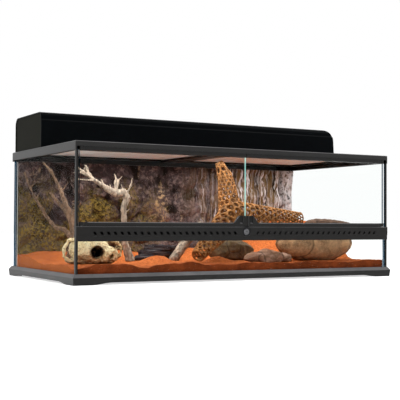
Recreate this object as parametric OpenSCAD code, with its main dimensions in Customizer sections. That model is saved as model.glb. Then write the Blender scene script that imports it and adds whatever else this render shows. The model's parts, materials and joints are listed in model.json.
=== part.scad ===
// Front-opening glass terrarium with a screen cover, a light hood and a desert habitat.
// Millimetres. X runs to the right, Y to the back, Z up from the surface it stands on.

/* [Glass box] */
// Width of the glass box, outside
glass_w = 892; // [820:1:1000]
// Depth of the glass box, outside
glass_d = 442; // [420:1:520]
// Height from the table to the top of the upper frame
tank_h = 325; // [315:1:380]
// Thickness of the side, rear and lower front panes
pane_t = 5; // [4:0.5:6]
// Thickness of the floor pane
floor_t = 5; // [4:0.5:8]
// Thickness of the door glass
door_t = 5; // [4:0.5:5]
// Gap between panes that the sealant fills
pane_gap = 0.2; // [0.1:0.1:0.4]
// Leg of the sealant bead in the rear corners
bead = 3; // [2:0.5:4]

/* [Base frame] */
// Height of the base frame
base_h = 25; // [22:1:32]
// Height of its widest line
ridge_h = 17; // [13:1:19]
// How far the widest line stands out from the glass
skirt = 10; // [8:0.5:14]
// How much the skirt draws in towards the table
skirt_draft = 2; // [0:0.5:3]
// Thickness of the skirt
skirt_t = 3; // [2:0.5:4]
// Width of the flat rim round the glass
rim_w = 4; // [3:0.5:5]
// Underside of the ledge that carries the glass
ledge_z = 8; // [6.5:0.5:10]
// Thickness of the ledge
ledge_t = 3; // [2:0.5:4]
// How far the ledge reaches under the glass
ledge_w = 12; // [8:0.5:20]
// Rise of the arch between the feet
foot_rise = 5; // [3:0.5:6]
// Flat length of a foot
foot_l = 46; // [30:1:80]
// Length of the ramp from a foot to the arch
ramp_l = 50; // [20:1:80]

/* [Upper frame] */
// Height of the upper frame at the sides
top_h = 21; // [18:0.5:26]
// Height of its front member, above the doors
brow_h = 12; // [11:0.5:15]
// Height of its rear member, with the cable inlets
rear_h = 24; // [23:0.5:30]
// How far the rear member reaches below the top of the rear pane
rear_lap = 2; // [1:0.5:4]
// How far the upper frame stands out from the glass
lap = 4; // [3.5:0.5:5]
// Thickness of the outer rim
rim_t = 3.6; // [3:0.1:3.6]
// Depth of the recess that takes the screen cover
cover_drop = 5.5; // [5.2:0.1:7]
// Thickness of the shelf under the screen cover
shelf_t = 3.3; // [2.5:0.1:4]
// Width of that shelf, from the outer rim inwards
shelf_w = 26; // [24:1:34]
// Width of the cross bar
bar_w = 44; // [30:1:60]
// Chamfer along the upper edge
edge = 1.5; // [0.5:0.5:2]

/* [Cable inlets] */
// Width of an inlet window
inlet_w = 26; // [18:1:30]
// Distance of the outer inlet from the side of the glass box
inlet_in = 60; // [50:1:90]
// Pitch from one inlet to the next
inlet_pitch = 72; // [68:1:90]
// Thickness of a shutter
shutter_t = 2; // [1.5:0.1:2.4]

/* [Corner posts] */
// Width of a corner post past the outside of the glass
post_out = 2; // [1.5:0.5:3]
// How much of the pane's edge a post covers
post_in = 2.5; // [1.5:0.5:3.5]
// Length of the post's side leaf along the pane
post_leaf = 4; // [2:0.5:8]

/* [Vent strip] */
// Height of the strip's lower edge above the table
strip_z = 98.5; // [90:0.5:110]
// Height of the strip
strip_h = 34; // [32:0.5:40]
// Height of its plain lower band
band_h = 11; // [10:0.5:13]
// How far the strip stands out from the glass
strip_out = 7; // [6.5:0.5:8]
// How far the slotted band stands out from the plain one
band_step = 1; // [0.5:0.1:1.2]
// Thickness of the strip's walls
strip_t = 2.5; // [2:0.1:2.8]
// Depth of the channel that grips the lower front pane
grip = 6; // [4:0.5:7]
// Width of a slot
slot_w = 7; // [5:0.5:9]
// Height of a slot
slot_h = 7; // [5:0.5:8]
// Sideways lean of a slot over its height
slot_lean = 4; // [0:0.5:6]
// Pitch of the slots
slot_pitch = 16.8; // [15:0.1:20]
// Distance of the first slot from the lock
slot_start = 33; // [28:0.5:45]
// Distance of the last slot from the end of the glass box
slot_margin = 28; // [24:0.5:50]
// Thickness of the baffle behind the slots, which keeps the sand in
baffle_t = 1.8; // [1.2:0.1:2]
// Air gap over the baffle
baffle_gap = 4; // [3:0.5:6]

/* [Doors] */
// Radius of the round hinge end of a door rail
hinge_r = 7; // [6.5:0.1:7]
// Radius of a hinge pin
pin_r = 2; // [1.5:0.1:2.2]
// Clearance round a hinge pin
pin_gap = 0.06; // [0.03:0.01:0.09]
// Gap between the two doors
split = 1.5; // [1:0.1:3]
// Height of the lower door rail
rail_h = 9.3; // [9:0.1:12]
// Height of the upper door rail
rail_top_h = 9.5; // [9:0.1:12]
// Gap above and below a door
door_gap = 0.5; // [0.4:0.1:0.8]
// How deep the glass sits in its rails
rail_grip = 4; // [3:0.1:4.2]
// Length of the rail's hinge end, which stands back a little
hinge_l = 15; // [12:0.5:20]
// How far the hinge end stands back
hinge_back = 1.5; // [1:0.1:2]
// Height of the finger pull over the rail
pull_h = 17; // [12:0.5:22]
// Half width of the flat top of the finger pull
pull_flat = 18; // [16:0.5:22]
// Length of the slope beside it
pull_slope = 18; // [10:0.5:24]
// Radius of the round pull between the finger grooves
pull_r = 10.5; // [9:0.1:11]
// Radius of a finger groove
groove_r = 4; // [3:0.1:4.5]

/* [Lock] */
// Radius of the lock's collar
collar_r = 12; // [11:0.1:12.4]
// Radius of the lock barrel
barrel_r = 7.5; // [6:0.1:8.5]
// Clearance round the barrel
barrel_gap = 0.08; // [0.04:0.01:0.1]
// Height of the lock's axis over the strip's lower edge
lock_up = 21.3; // [20:0.1:22]
// Reach of the cam from the axis
cam_l = 16.6; // [16:0.1:16.8]
// Width of the cam
cam_w = 8; // [6:0.5:9]
// Thickness of the cam
cam_t = 2.2; // [1.5:0.1:2.4]

/* [Screen cover] */
// Thickness of the cover's frame
cover_t = 5; // [4:0.1:5]
// Width of the cover's frame
cover_w = 14; // [10:0.5:18]
// Width of the lip that carries the mesh
mesh_lip = 4; // [3:0.5:6]
// Thickness of the mesh sheet
mesh_t = 0.8; // [0.6:0.1:1.2]
// Openings across a mesh sheet, which stand for its fine weave
mesh_cells = 10; // [2:1:12]
// Width of the strips between them
mesh_strip = 5; // [3:0.5:12]
// Clearance round the cover
cover_gap = 0.5; // [0.3:0.1:1]

/* [Light hood] */
// How far the ends of the hood stand in from the sides of the upper frame
hood_inset = 1.5; // [0.5:0.5:12]
// Depth of the hood
hood_d = 200; // [160:1:205]
// Height of the hood
hood_h = 88; // [80:1:110]
// Distance of the hood's front from the middle of the tank
hood_y = 7; // [0:0.5:12]
// Wall of the hood
hood_wall = 2.5; // [2:0.1:3.5]
// Radius of the rounded upper corner at its right end
hood_corner = 34; // [20:1:40]
// Draft of the right end
hood_draft = 3; // [0:0.5:5]
// Radius of the upper front edge
hood_front_r = 12; // [8:0.5:14]
// Radius of the upper rear edge
hood_rear_r = 20; // [10:0.5:26]
// Depth of the groove under the upper front edge
hood_groove = 2; // [1:0.1:2.5]
// How far the left end plate is set in
cap_inset = 1.5; // [0.5:0.5:3]
// Thickness of the left end plate
cap_t = 2.5; // [2:0.5:4]
// Number of vent slots in the rear wall
hood_vents = 16; // [8:2:20]

/* [Hood fittings] */
// Thickness of the reflector sheet
reflector_t = 1; // [0.8:0.1:1.5]
// Radius of a lamp socket
socket_r = 19; // [17:0.5:21]
// Length of a lamp socket
socket_l = 42; // [36:1:50]
// Radius of a socket's bore
socket_bore = 13.2; // [13:0.1:13.6]
// Depth of a socket's bore
socket_deep = 28; // [24:1:32]
// Distance of the outer sockets from the hood's ends
socket_in = 30; // [25:1:60]
// Pitch from the outer to the inner sockets
socket_pitch = 215; // [190:1:230]
// How far the sockets stand before and behind the middle of the hood, in turn
socket_stagger = 12; // [4:1:18]
// How much lower the inner sockets hang than the outer ones
socket_step = 4; // [2:0.5:8]
// Length of the rocker switch
rocker_l = 12; // [10:0.5:14]
// Width of the rocker switch
rocker_w = 20; // [14:0.5:24]
// Tilt of the rocker to either side
rocker_tilt = 7; // [4:0.5:9]
// Radius of the cable gland's bore
gland_bore = 3.6; // [3:0.1:4]

/* [Habitat] */
// Level of the sand over the floor pane, near the front
sand_h = 26; // [20:1:34]
// Extra height of the sand heap at the right rear
heap_h = 74; // [40:1:85]
// Thickness of the background panel where it is plain
panel_t = 10; // [6:1:12]
// Relief of the background panel
relief = 10; // [4:1:14]
// Gap between a furnishing and what it rests on
bed_gap = 0.2; // [0.1:0.1:0.4]
// Wall of the hollow cactus wood
cactus_wall = 4.5; // [3.5:0.5:6]
// Pitch of the holes along the cactus wood
net_pitch = 32; // [26:1:44]
// Height of the boulder
boulder_h = 96; // [70:1:100]
// Thickness of one sheet of the layered rock
sheet_pitch = 13.6; // [8:0.2:15]

/* [Hidden] */
$fn = 48;

black_plastic = "#232628";
clear_glass = [0.75, 0.88, 0.85, 0.35];
sand_orange = "#c8602a";
far = 1000;

// Glass box
gx = glass_w / 2;
gy = glass_d / 2;
in_x = gx - pane_t;
in_y = gy - pane_t;
glass_z = ledge_z + ledge_t;
floor_z = glass_z + floor_t;

// Upper frame
frame_x = gx + lap;
frame_y = gy + lap;
shelf_z = tank_h - cover_drop;
pane_top = shelf_z - shelf_t;
rear_top = tank_h - rear_h + rear_lap;
rear_sill = rear_top + 2;
side_foot = tank_h - top_h;
brow_z = tank_h - brow_h;
lip_t = 2.2;
shutter_w = inlet_w + 4;
shutter_y = frame_y - rim_t - 0.3 - shutter_t;

// Vent strip
strip_top = strip_z + strip_h;
strip_front = -(gy + strip_out);
sill_back = -(gy - 11);
stop_y = -(gy - hinge_r - 1.6);
stop_h = 5;
wall_back = -(gy + lap + pane_gap);
web_top = strip_z + grip + strip_t;

// Doors
hinge_x = in_x - hinge_r - 1.5;
hinge_y = -(gy - 1);
rail_z = strip_top + door_gap;
rail_top = rail_z + rail_h;
upper_z = brow_z - door_gap - rail_top_h;
door_glass_z = rail_top - rail_grip;
door_glass_top = upper_z + rail_grip;
door_edge = hinge_x + hinge_r - 1.6;
door_front = -gy;
pin_in = 4.2;
pin_hole = pin_r + pin_gap;

// Lock
lock_z = strip_z + lock_up;
collar_back = -(gy - 2);
cam_y = -(gy - 3.1);
cam_gap = 0.5;

// Screen cover
cover_x = frame_x - rim_t - cover_gap;
cover_y = frame_y - rim_t - cover_gap;
cover_z = shelf_z + 0.2;

// Light hood
hood_z = tank_h + 0.2;
hood_top = hood_z + hood_h;
hood_x = frame_x - hood_inset;
hood_back = hood_y + hood_d;
reflector_z = hood_top - 15;
socket_z = hood_z + 36;
socket_y = hood_y + hood_d / 2;
socket_x = hood_x - socket_in;
switch_x = hood_x - 70;
switch_z = hood_z + 31;
gland_x = hood_x - 35;
gland_z = hood_z + 20;

// Habitat
sand_z0 = floor_z + sand_h;
sand_back = in_y - pane_gap - panel_t - bed_gap;
panel_top = rear_top - 1;

// Where the furnishings stand, from the walls of the glass box: x, y, half length, half depth
skull_at = [80 - in_x, 118 - in_y, 66, 42];
boulder_at = [in_x - 155, 96 - in_y, 124, 52];
flat_at = [95, 40 - in_y, 62, 26];
dark_at = [70, 180 - in_y, 62, 38];
layered_at = [313 - in_x, 236 - in_y, 56, 40];
bark_at = boulder_at + [56, 14, -46, -22];
trunk_at = [-98, 62 - in_y, 24, 24];
log_at = [-112, 158 - in_y, 14, 14];
pale_at = [232 - in_x, in_y - 216, 16, 14];
dark_root_at = [86 - in_x, in_y - 176, 18, 16];
PADS = [skull_at, boulder_at, flat_at, dark_at, layered_at, trunk_at, log_at, pale_at, dark_root_at];

// ---- Shapes that repeat ----

// Points of an arc round c, from angle a to angle b
function arc(c, r, a, b, n = 8) =
    [for (i = [0:n]) let (t = a + (b - a) * i / n) c + r * [cos(t), sin(t)]];

// Rises smoothly from 0 to 1 as t goes from 0 to 1
function ease(t) = let (u = min(1, max(0, t))) u * u * (3 - 2 * u);

// A block whose four sides follow one profile: pts holds [inset, height], from the bottom up
module mitred_block(hx, hy, pts) {
    n = len(pts);
    intersection() {
        rotate([90, 0, 0])
            linear_extrude(2 * hy + 2, center = true)
                polygon(concat([for (p = pts) [hx - p[0], p[1]]],
                               [for (i = [n - 1:-1:0]) [pts[i][0] - hx, pts[i][1]]]));
        rotate([90, 0, 90])
            linear_extrude(2 * hx + 2, center = true)
                polygon(concat([for (p = pts) [hy - p[0], p[1]]],
                               [for (i = [n - 1:-1:0]) [pts[i][0] - hy, pts[i][1]]]));
    }
}

// A box from one corner to the opposite one
module span(a, b) {
    translate([min(a[0], b[0]), min(a[1], b[1]), min(a[2], b[2])])
        cube([abs(b[0] - a[0]), abs(b[1] - a[1]), abs(b[2] - a[2])]);
}

// Extrudes an outline drawn in Y and Z along X
module along_x(x0, x1) {
    translate([x0, 0, 0])
        rotate([90, 0, 90])
            linear_extrude(x1 - x0)
                children();
}

// Extrudes an outline drawn in X and Z along Y
module along_y(y0, y1) {
    translate([0, y1, 0])
        rotate([90, 0, 0])
            linear_extrude(y1 - y0)
                children();
}

// A rod from one point to another, as wide as r at the first and r_end at the second
module rod(a, b, r, r_end, sides = 8) {
    hull() {
        translate(a)
            sphere(r, $fn = sides);
        translate(b)
            sphere(r_end, $fn = sides);
    }
}

// A branch through points [x, y, z, radius]
module branch(route, sides = 8) {
    for (i = [0:len(route) - 2])
        rod([for (k = [0:2]) route[i][k]], [for (k = [0:2]) route[i + 1][k]],
            route[i][3], route[i + 1][3], sides);
}

// A slab over a rectangle whose upper face follows a function of x and y
module height_slab(x0, x1, y0, y1, nx, ny, base, height) {
    xs = [for (i = [0:nx]) x0 + (x1 - x0) * i / nx];
    ys = [for (j = [0:ny]) y0 + (y1 - y0) * j / ny];
    top = [for (j = [0:ny]) for (i = [0:nx]) [xs[i], ys[j], height(xs[i], ys[j])]];
    rim = concat([for (i = [0:nx - 1]) [i, 0]], [for (j = [0:ny - 1]) [nx, j]],
                 [for (i = [nx:-1:1]) [i, ny]], [for (j = [ny:-1:1]) [0, j]]);
    m = len(rim);
    n = len(top);
    skirt_pts = [for (p = rim) [xs[p[0]], ys[p[1]], base]];
    row = nx + 1;
    faces = concat(
        [for (j = [0:ny - 1]) for (i = [0:nx - 1])
            [j * row + i, (j + 1) * row + i, (j + 1) * row + i + 1]],
        [for (j = [0:ny - 1]) for (i = [0:nx - 1])
            [j * row + i, (j + 1) * row + i + 1, j * row + i + 1]],
        [for (k = [0:m - 1]) let (a = rim[k], b = rim[(k + 1) % m])
            [a[1] * row + a[0], b[1] * row + b[0], n + (k + 1) % m, n + k]],
        [for (k = [0:m - 1]) [n + k, n + (k + 1) % m, n + m]]);
    polyhedron(concat(top, skirt_pts, [[(x0 + x1) / 2, (y0 + y1) / 2, base]]), faces, convexity = 6);
}

// A worn stone that stands on z = 0: half sizes, seed, roughness, share of its lower half cut flat
module stone(half, seed, rough, cut, nu = 18, nv = 9) {
    up = half[2] * (1 - cut);
    rings = [for (j = [1:nv - 1]) for (i = [0:nu - 1])
        let (lat = -90 + 180 * j / nv, lon = 360 * i / nu,
             k = 1 + rough * (sin(2 * lon + seed) * cos(2 * lat)
                 + 0.6 * sin(5 * lon - 2 * seed) * cos(3 * lat + seed)))
        [half[0] * cos(lat) * cos(lon) * k, half[1] * cos(lat) * sin(lon) * k,
         max(half[2] * sin(lat) * k, -up) + up]];
    foot = [0, 0, 0];
    cap = [0, 0, half[2] + up];
    n = len(rings);
    faces = concat(
        [for (j = [0:nv - 3]) for (i = [0:nu - 1]) let (k = (i + 1) % nu)
            [j * nu + i, (j + 1) * nu + i, (j + 1) * nu + k]],
        [for (j = [0:nv - 3]) for (i = [0:nu - 1]) let (k = (i + 1) % nu)
            [j * nu + i, (j + 1) * nu + k, j * nu + k]],
        [for (i = [0:nu - 1]) [n, i, (i + 1) % nu]],
        [for (i = [0:nu - 1]) [n + 1, (nv - 2) * nu + (i + 1) % nu, (nv - 2) * nu + i]]);
    polyhedron(concat(rings, [foot, cap]), faces, convexity = 4);
}

// ---- Base and glass ----

// The arch cut between two feet, over a half length
function arch_outline(half) =
    let (a = half - foot_l, b = max(1, a - ramp_l),
         right = [for (i = [0:8]) [a - (a - b) * i / 8, foot_rise * ease(i / 8)]])
    concat([[-a, -1], [a, -1]], right, [for (i = [8:-1:0]) [-right[i][0], right[i][1]]]);

module base_frame() {
    hx = gx + skirt;
    hy = gy + skirt;
    color(black_plastic)
        difference() {
            mitred_block(hx, hy, [[skirt_draft, 0], [0, ridge_h], [skirt - rim_w, base_h]]);
            span([-gx - pane_gap, -gy - pane_gap, glass_z], [gx + pane_gap, gy + pane_gap, far]);
            span([ledge_w - gx, ledge_w - gy, -1], [gx - ledge_w, gy - ledge_w, far]);
            span([foot_l - hx, skirt_t + skirt_draft - hy, -1],
                 [hx - foot_l, hy - skirt_t - skirt_draft, ledge_z]);
            span([skirt_t + skirt_draft - hx, foot_l - hy, -1],
                 [hx - skirt_t - skirt_draft, hy - foot_l, ledge_z]);
            along_y(-far, far)
                polygon(arch_outline(hx));
            along_x(-far, far)
                polygon(arch_outline(hy));
        }
}

module floor_glass() {
    color(clear_glass)
        span([pane_gap - in_x, pane_gap - in_y, glass_z], [in_x - pane_gap, in_y - pane_gap, floor_z]);
}

module side_pane(side) {
    color(clear_glass)
        span([side * in_x, -gy, glass_z], [side * gx, gy, pane_top - pane_gap]);
}

module left_side_glass() {
    side_pane(-1);
}

module right_side_glass() {
    side_pane(1);
}

module rear_glass() {
    color(clear_glass)
        span([pane_gap - in_x, in_y, glass_z], [in_x - pane_gap, gy, rear_top - pane_gap]);
}

module lower_front_glass() {
    color(clear_glass)
        span([pane_gap - in_x, -gy, glass_z], [in_x - pane_gap, -in_y, strip_z + grip - pane_gap]);
}

module corner_seals() {
    color("#16181a")
        for (side = [-1, 1])
            translate([side * in_x, in_y, floor_z])
                linear_extrude(rear_top - floor_z - 1)
                    polygon([[0, 0], [-side * bead, 0], [0, -bead]]);
}

module corner_post(side) {
    color(black_plastic)
        translate([0, 0, base_h])
            linear_extrude(side_foot - base_h)
                polygon([for (p = [[gx + post_out, -gy - lap], [gx - post_in, -gy - lap],
                                   [gx - post_in, -gy - pane_gap], [gx + pane_gap, -gy - pane_gap],
                                   [gx + pane_gap, post_leaf - gy], [gx + post_out, post_leaf - gy]])
                         [side * p[0], p[1]]]);
}

module left_corner_post() {
    corner_post(-1);
}

module right_corner_post() {
    corner_post(1);
}

// ---- Vent strip and lock ----

// Face of the strip: a plain band below and a slotted band that stands out above it
function strip_face() = [
    [strip_front + band_step, strip_z], [strip_front + band_step, strip_z + band_h],
    [strip_front, strip_z + band_h + band_step], [strip_front, strip_top - edge],
    [strip_front + edge, strip_top], [wall_back, strip_top], [wall_back, strip_z]];

// Body of the strip: a channel for the pane, a vent chamber with its baffle, and the door sill
function strip_body() = [
    [wall_back - 1, strip_z], [wall_back - 1, strip_top], [stop_y, strip_top],
    [stop_y, strip_top + stop_h], [sill_back, strip_top + stop_h],
    [sill_back, strip_top - strip_t], [wall_back + 0.2, strip_top - strip_t],
    [wall_back + 0.2, web_top], [3 - in_y - baffle_t, web_top],
    [3 - in_y - baffle_t, strip_top - strip_t - baffle_gap],
    [3 - in_y, strip_top - strip_t - baffle_gap], [3 - in_y, strip_z],
    [pane_gap - in_y, strip_z], [pane_gap - in_y, strip_z + grip],
    [-gy - pane_gap, strip_z + grip], [-gy - pane_gap, strip_z]];

module vent_slot(x, lean) {
    translate([x, 0, 0])
        along_y(strip_front - 1, wall_back + 1)
            polygon([[lean - slot_w / 2, -slot_h / 2], [lean + slot_w / 2, -slot_h / 2],
                     [slot_w / 2 - lean, slot_h / 2], [-slot_w / 2 - lean, slot_h / 2]]);
}

module vent_strip() {
    slots = floor((gx - slot_margin - slot_start) / slot_pitch);
    color(black_plastic)
        difference() {
            union() {
                along_x(-gx - post_out, gx + post_out)
                    polygon(strip_face());
                along_x(door_gap - in_x, in_x - door_gap)
                    polygon(strip_body());
            }
            for (side = [-1, 1]) {
                translate([0, 0, strip_z + band_h + (strip_h - band_h) * 0.32])
                    for (i = [0:slots])
                        vent_slot(side * (slot_start + i * slot_pitch), -side * slot_lean / 2);
                translate([side * hinge_x, hinge_y, strip_top - strip_t - 1])
                    cylinder(h = strip_t + 2, r = pin_hole);
            }
            translate([0, strip_front - 1, lock_z])
                rotate([-90, 0, 0])
                    cylinder(h = wall_back - strip_front + 2, r = collar_r + pane_gap);
            span([-cam_w / 2 - cam_gap, cam_y - cam_gap, strip_top - strip_t - 1],
                 [cam_l - 1.6, cam_y + cam_t + cam_gap, strip_top + 1]);
        }
}

module lock_collar() {
    color("#101214")
        translate([0, strip_front + 0.6, lock_z])
            rotate([-90, 0, 0])
                difference() {
                    union() {
                        cylinder(h = wall_back - strip_front - 0.6, r = collar_r);
                        cylinder(h = collar_back - strip_front - 0.6, r = barrel_r + 2);
                    }
                    translate([0, 0, -1])
                        cylinder(h = collar_back - strip_front + 2, r = barrel_r + barrel_gap);
                    translate([0, 0, -1])
                        cylinder(h = 2.2, r1 = collar_r - 1, r2 = barrel_r + 0.6);
                }
}

module lock_barrel() {
    front = strip_front + 0.8;
    color("silver")
        translate([0, front, lock_z])
            rotate([-90, 0, 0])
                difference() {
                    union() {
                        cylinder(h = cam_y - front, r = barrel_r);
                        translate([0, 0, 1])
                            mirror([0, 0, 1])
                                cylinder(h = 1.8, r1 = barrel_r - 0.3, r2 = barrel_r - 2);
                    }
                    translate([-3.2, -0.6, -1])
                        cube([6.4, 1.2, 5]);
                }
}

module lock_cam() {
    color("silver")
        translate([0, cam_y + cam_t, lock_z])
            rotate([90, 0, 0])
                linear_extrude(cam_t)
                    union() {
                        circle(cam_w / 2 + 1);
                        translate([0, -cam_w / 2])
                            square([cam_l - cam_w / 2, cam_w]);
                        translate([cam_l - cam_w / 2, 0])
                            circle(cam_w / 2);
                    }
}

// ---- Upper frame ----

module top_frame() {
    color(black_plastic)
        difference() {
            union() {
                rim_and_shelf();
                side_lips();
                cross_bar();
                shutter_guides();
            }
            for (side = [-1, 1]) {
                translate([side * hinge_x, hinge_y, brow_z - 1])
                    cylinder(h = pin_in + 1.5, r = pin_hole);
                for (i = [0, 1])
                    inlet_window(side * (gx - inlet_in - i * inlet_pitch));
            }
        }
}

// Outer rim with the shelf for the screen cover, deeper at the sides and deepest at the rear
module rim_and_shelf() {
    difference() {
        mitred_block(frame_x, frame_y,
                     [[0, min(side_foot, tank_h - rear_h)], [0, tank_h - edge], [edge, tank_h]]);
        span([rim_t - frame_x, rim_t - frame_y, shelf_z], [frame_x - rim_t, frame_y - rim_t, far]);
        span([shelf_w - frame_x, shelf_w - frame_y, 0], [frame_x - shelf_w, frame_y - shelf_w, far]);
        // Room for the side panes, the rear inlets and the doors under the shelf
        span([rim_t - frame_x, -far, 0], [frame_x - rim_t, frame_y - rim_t, brow_z - 0.01]);
        span([rim_t - frame_x, shelf_w - frame_y, 0],
             [frame_x - rim_t, frame_y - rim_t, pane_top]);
        // The sides stop higher than the rear, and the front higher still
        span([-far, -far, 0], [far, frame_y - rim_t - 3, side_foot]);
        span([post_in - gx, -far, 0], [gx - post_in, -gy + post_leaf, brow_z]);
        for (side = [-1, 1])
            span([side * in_x, -gy, 0], [side * gx, gy, pane_top]);
    }
    // Sill over the rear pane
    span([pane_gap - in_x, in_y - 3, rear_top], [in_x - pane_gap, frame_y - rim_t + 0.1, rear_sill]);
}

// Lips inside the side panes, and the stop behind the doors
module side_lips() {
    for (side = [-1, 1])
        span([side * (in_x - pane_gap), 12 - gy, side_foot],
             [side * (in_x - pane_gap - lip_t), in_y - 3.5, pane_top + 0.1]);
    span([door_gap - in_x, stop_y, upper_z + 2], [in_x - door_gap, sill_back, brow_z + 0.1]);
}

module cross_bar() {
    span([-bar_w / 2, shelf_w - frame_y - 1, brow_z], [bar_w / 2, frame_y - shelf_w + 1, shelf_z]);
}

module inlet_window(x) {
    span([x - inlet_w / 2, gy - 6, rear_sill + 1.2], [x + inlet_w / 2, far, pane_top - 0.8]);
}

// Low rails that hold the shutters against the rim, from the window to its open end
module shutter_guides() {
    for (side = [-1, 1])
        for (i = [0, 1])
            let (x = side * (gx - inlet_in - i * inlet_pitch))
                span([x + side * (shutter_w / 2 + 1), shutter_y - 2.7, rear_sill - 0.1],
                     [x - side * (shutter_w * 1.5), shutter_y - 1, rear_sill + 1.1]);
}

// A shutter closes its window and slides towards the middle of the tank
module inlet_shutter(side, i) {
    x = side * (gx - inlet_in - i * inlet_pitch);
    color(black_plastic) {
        span([x - shutter_w / 2, shutter_y, rear_sill + 0.2],
             [x + shutter_w / 2, shutter_y + shutter_t, pane_top - 0.3]);
        span([x - 1.5, shutter_y - 3, rear_sill + 4], [x + 1.5, shutter_y, pane_top - 2]);
    }
}

module inlet_shutter_1() {
    inlet_shutter(-1, 0);
}

module inlet_shutter_2() {
    inlet_shutter(-1, 1);
}

module inlet_shutter_3() {
    inlet_shutter(1, 1);
}

module inlet_shutter_4() {
    inlet_shutter(1, 0);
}

// ---- Doors: drawn for the left one, and mirrored for the right one ----

module door_glass() {
    color(clear_glass)
        span([-door_edge, door_front, door_glass_z + 0.1],
             [-split / 2, door_front + door_t, door_glass_top - 0.1]);
}

// Section of a rail, from its underside: a channel with a rounded front edge
function rail_section(h) = concat(
    [[hinge_y - hinge_r, 0]], arc([hinge_y - hinge_r + 3, h - 3], 3, 180, 90, 5),
    [[hinge_y + hinge_r, h], [hinge_y + hinge_r, 0]]);

module rail_bar(h) {
    intersection() {
        along_x(-hinge_x + hinge_l - hinge_r, -split / 2)
            polygon(rail_section(h));
        linear_extrude(h) {
            translate([-hinge_x + hinge_l, hinge_y])
                circle(hinge_r);
            translate([-hinge_x + hinge_l, hinge_y - hinge_r])
                square([hinge_x - hinge_l, 2 * hinge_r]);
        }
    }
    translate([-hinge_x, hinge_y, 0])
        cylinder(h = h, r = hinge_r);
    span([-hinge_x, hinge_y - hinge_r + hinge_back, 0], [-hinge_x + hinge_l, hinge_y + hinge_r, h]);
}

module glass_slot(z0, z1) {
    span([-door_edge - 0.1, door_front - 0.1, z0], [1, door_front + door_t + 0.1, z1]);
}

// Outline of the left half of the finger pull
function pull_outline() = concat(
    [[-split / 2, rail_z + 1], [-split / 2, rail_top + pull_h]],
    [for (i = [0:8]) [-pull_flat - pull_slope * i / 8, rail_top + pull_h * (1 - ease(i / 8))]],
    [[-pull_flat - pull_slope, rail_z + 1]]);

module finger_pull() {
    difference() {
        union() {
            along_y(hinge_y - hinge_r, door_front - 0.3)
                polygon(pull_outline());
            intersection() {
                translate([0, hinge_y, rail_z])
                    cylinder(h = rail_h + pull_h, r = pull_r);
                span([-pull_r, -far, rail_z], [-split / 2, door_front - 0.3, far]);
            }
        }
        translate([-pull_r - groove_r - 0.5, hinge_y - hinge_r - 0.5, rail_z + 2.5])
            cylinder(h = far, r = groove_r);
    }
}

module left_door_lower_rail() {
    lower_rail();
}

module lower_rail() {
    color(black_plastic)
        difference() {
            union() {
                translate([0, 0, rail_z])
                    rail_bar(rail_h);
                finger_pull();
            }
            glass_slot(door_glass_z, far);
            translate([-hinge_x, hinge_y, rail_z - 1])
                cylinder(h = pin_in + 1, r = pin_hole);
            // Mortise that the lock's cam turns up into
            span([-cam_l, cam_y - cam_gap, rail_z - 1],
                 [1, cam_y + cam_t + cam_gap, lock_z + cam_l + cam_gap]);
        }
}

module left_door_upper_rail() {
    upper_rail();
}

module upper_rail() {
    color(black_plastic)
        difference() {
            translate([0, 0, upper_z + rail_top_h])
                mirror([0, 0, 1])
                    rail_bar(rail_top_h);
            glass_slot(0, door_glass_top);
            translate([-hinge_x, hinge_y, upper_z + rail_top_h - pin_in])
                cylinder(h = pin_in + 1, r = pin_hole);
        }
}

module left_door_glass() {
    door_glass();
}

module left_door_pins() {
    door_pins();
}

module door_pins() {
    color("silver")
        for (z = [rail_z - strip_t - 1.2, upper_z + rail_top_h - pin_in + 0.2])
            translate([-hinge_x, hinge_y, z])
                cylinder(h = pin_in + strip_t + 0.9, r = pin_r);
}

module right_door_glass() {
    mirror([1, 0, 0])
        door_glass();
}

module right_door_lower_rail() {
    mirror([1, 0, 0])
        lower_rail();
}

module right_door_upper_rail() {
    mirror([1, 0, 0])
        upper_rail();
}

module right_door_pins() {
    mirror([1, 0, 0])
        door_pins();
}

// ---- Screen cover ----

module screen_frame() {
    inner_x = cover_x - cover_w;
    inner_y = cover_y - cover_w;
    color(black_plastic)
        difference() {
            mitred_block(cover_x, cover_y,
                         [[0, cover_z], [0, cover_z + cover_t - 1], [1, cover_z + cover_t]]);
            for (side = [-1, 1]) {
                span([side * cover_w / 2, -inner_y, cover_z + 1.5], [side * inner_x, inner_y, far]);
                span([side * (cover_w / 2 + mesh_lip), mesh_lip - inner_y, 0],
                     [side * (inner_x - mesh_lip), inner_y - mesh_lip, far]);
            }
        }
}

// A sheet of the screen as a plain grid of strips, with a wider border that lies on the lip
module screen_mesh(side) {
    x0 = cover_w / 2 + 0.2;
    x1 = cover_x - cover_w - 0.2;
    hy = cover_y - cover_w - 0.2;
    border = mesh_lip + mesh_strip / 2;
    px = (x1 - x0 - 2 * border) / mesh_cells;
    py = (2 * hy - 2 * border) / mesh_cells;
    color("#8b8a86")
        translate([0, 0, cover_z + 1.6])
            linear_extrude(mesh_t)
                difference() {
                    translate([min(side * x0, side * x1), -hy])
                        square([x1 - x0, 2 * hy]);
                    for (i = [0:mesh_cells - 1])
                        for (j = [0:mesh_cells - 1])
                            translate([side * (x0 + border + (i + 0.5) * px), -hy + border + (j + 0.5) * py])
                                square([px - mesh_strip, py - mesh_strip], center = true);
                }
}

module left_screen_mesh() {
    screen_mesh(-1);
}

module right_screen_mesh() {
    screen_mesh(1);
}

// ---- Light hood ----

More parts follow.
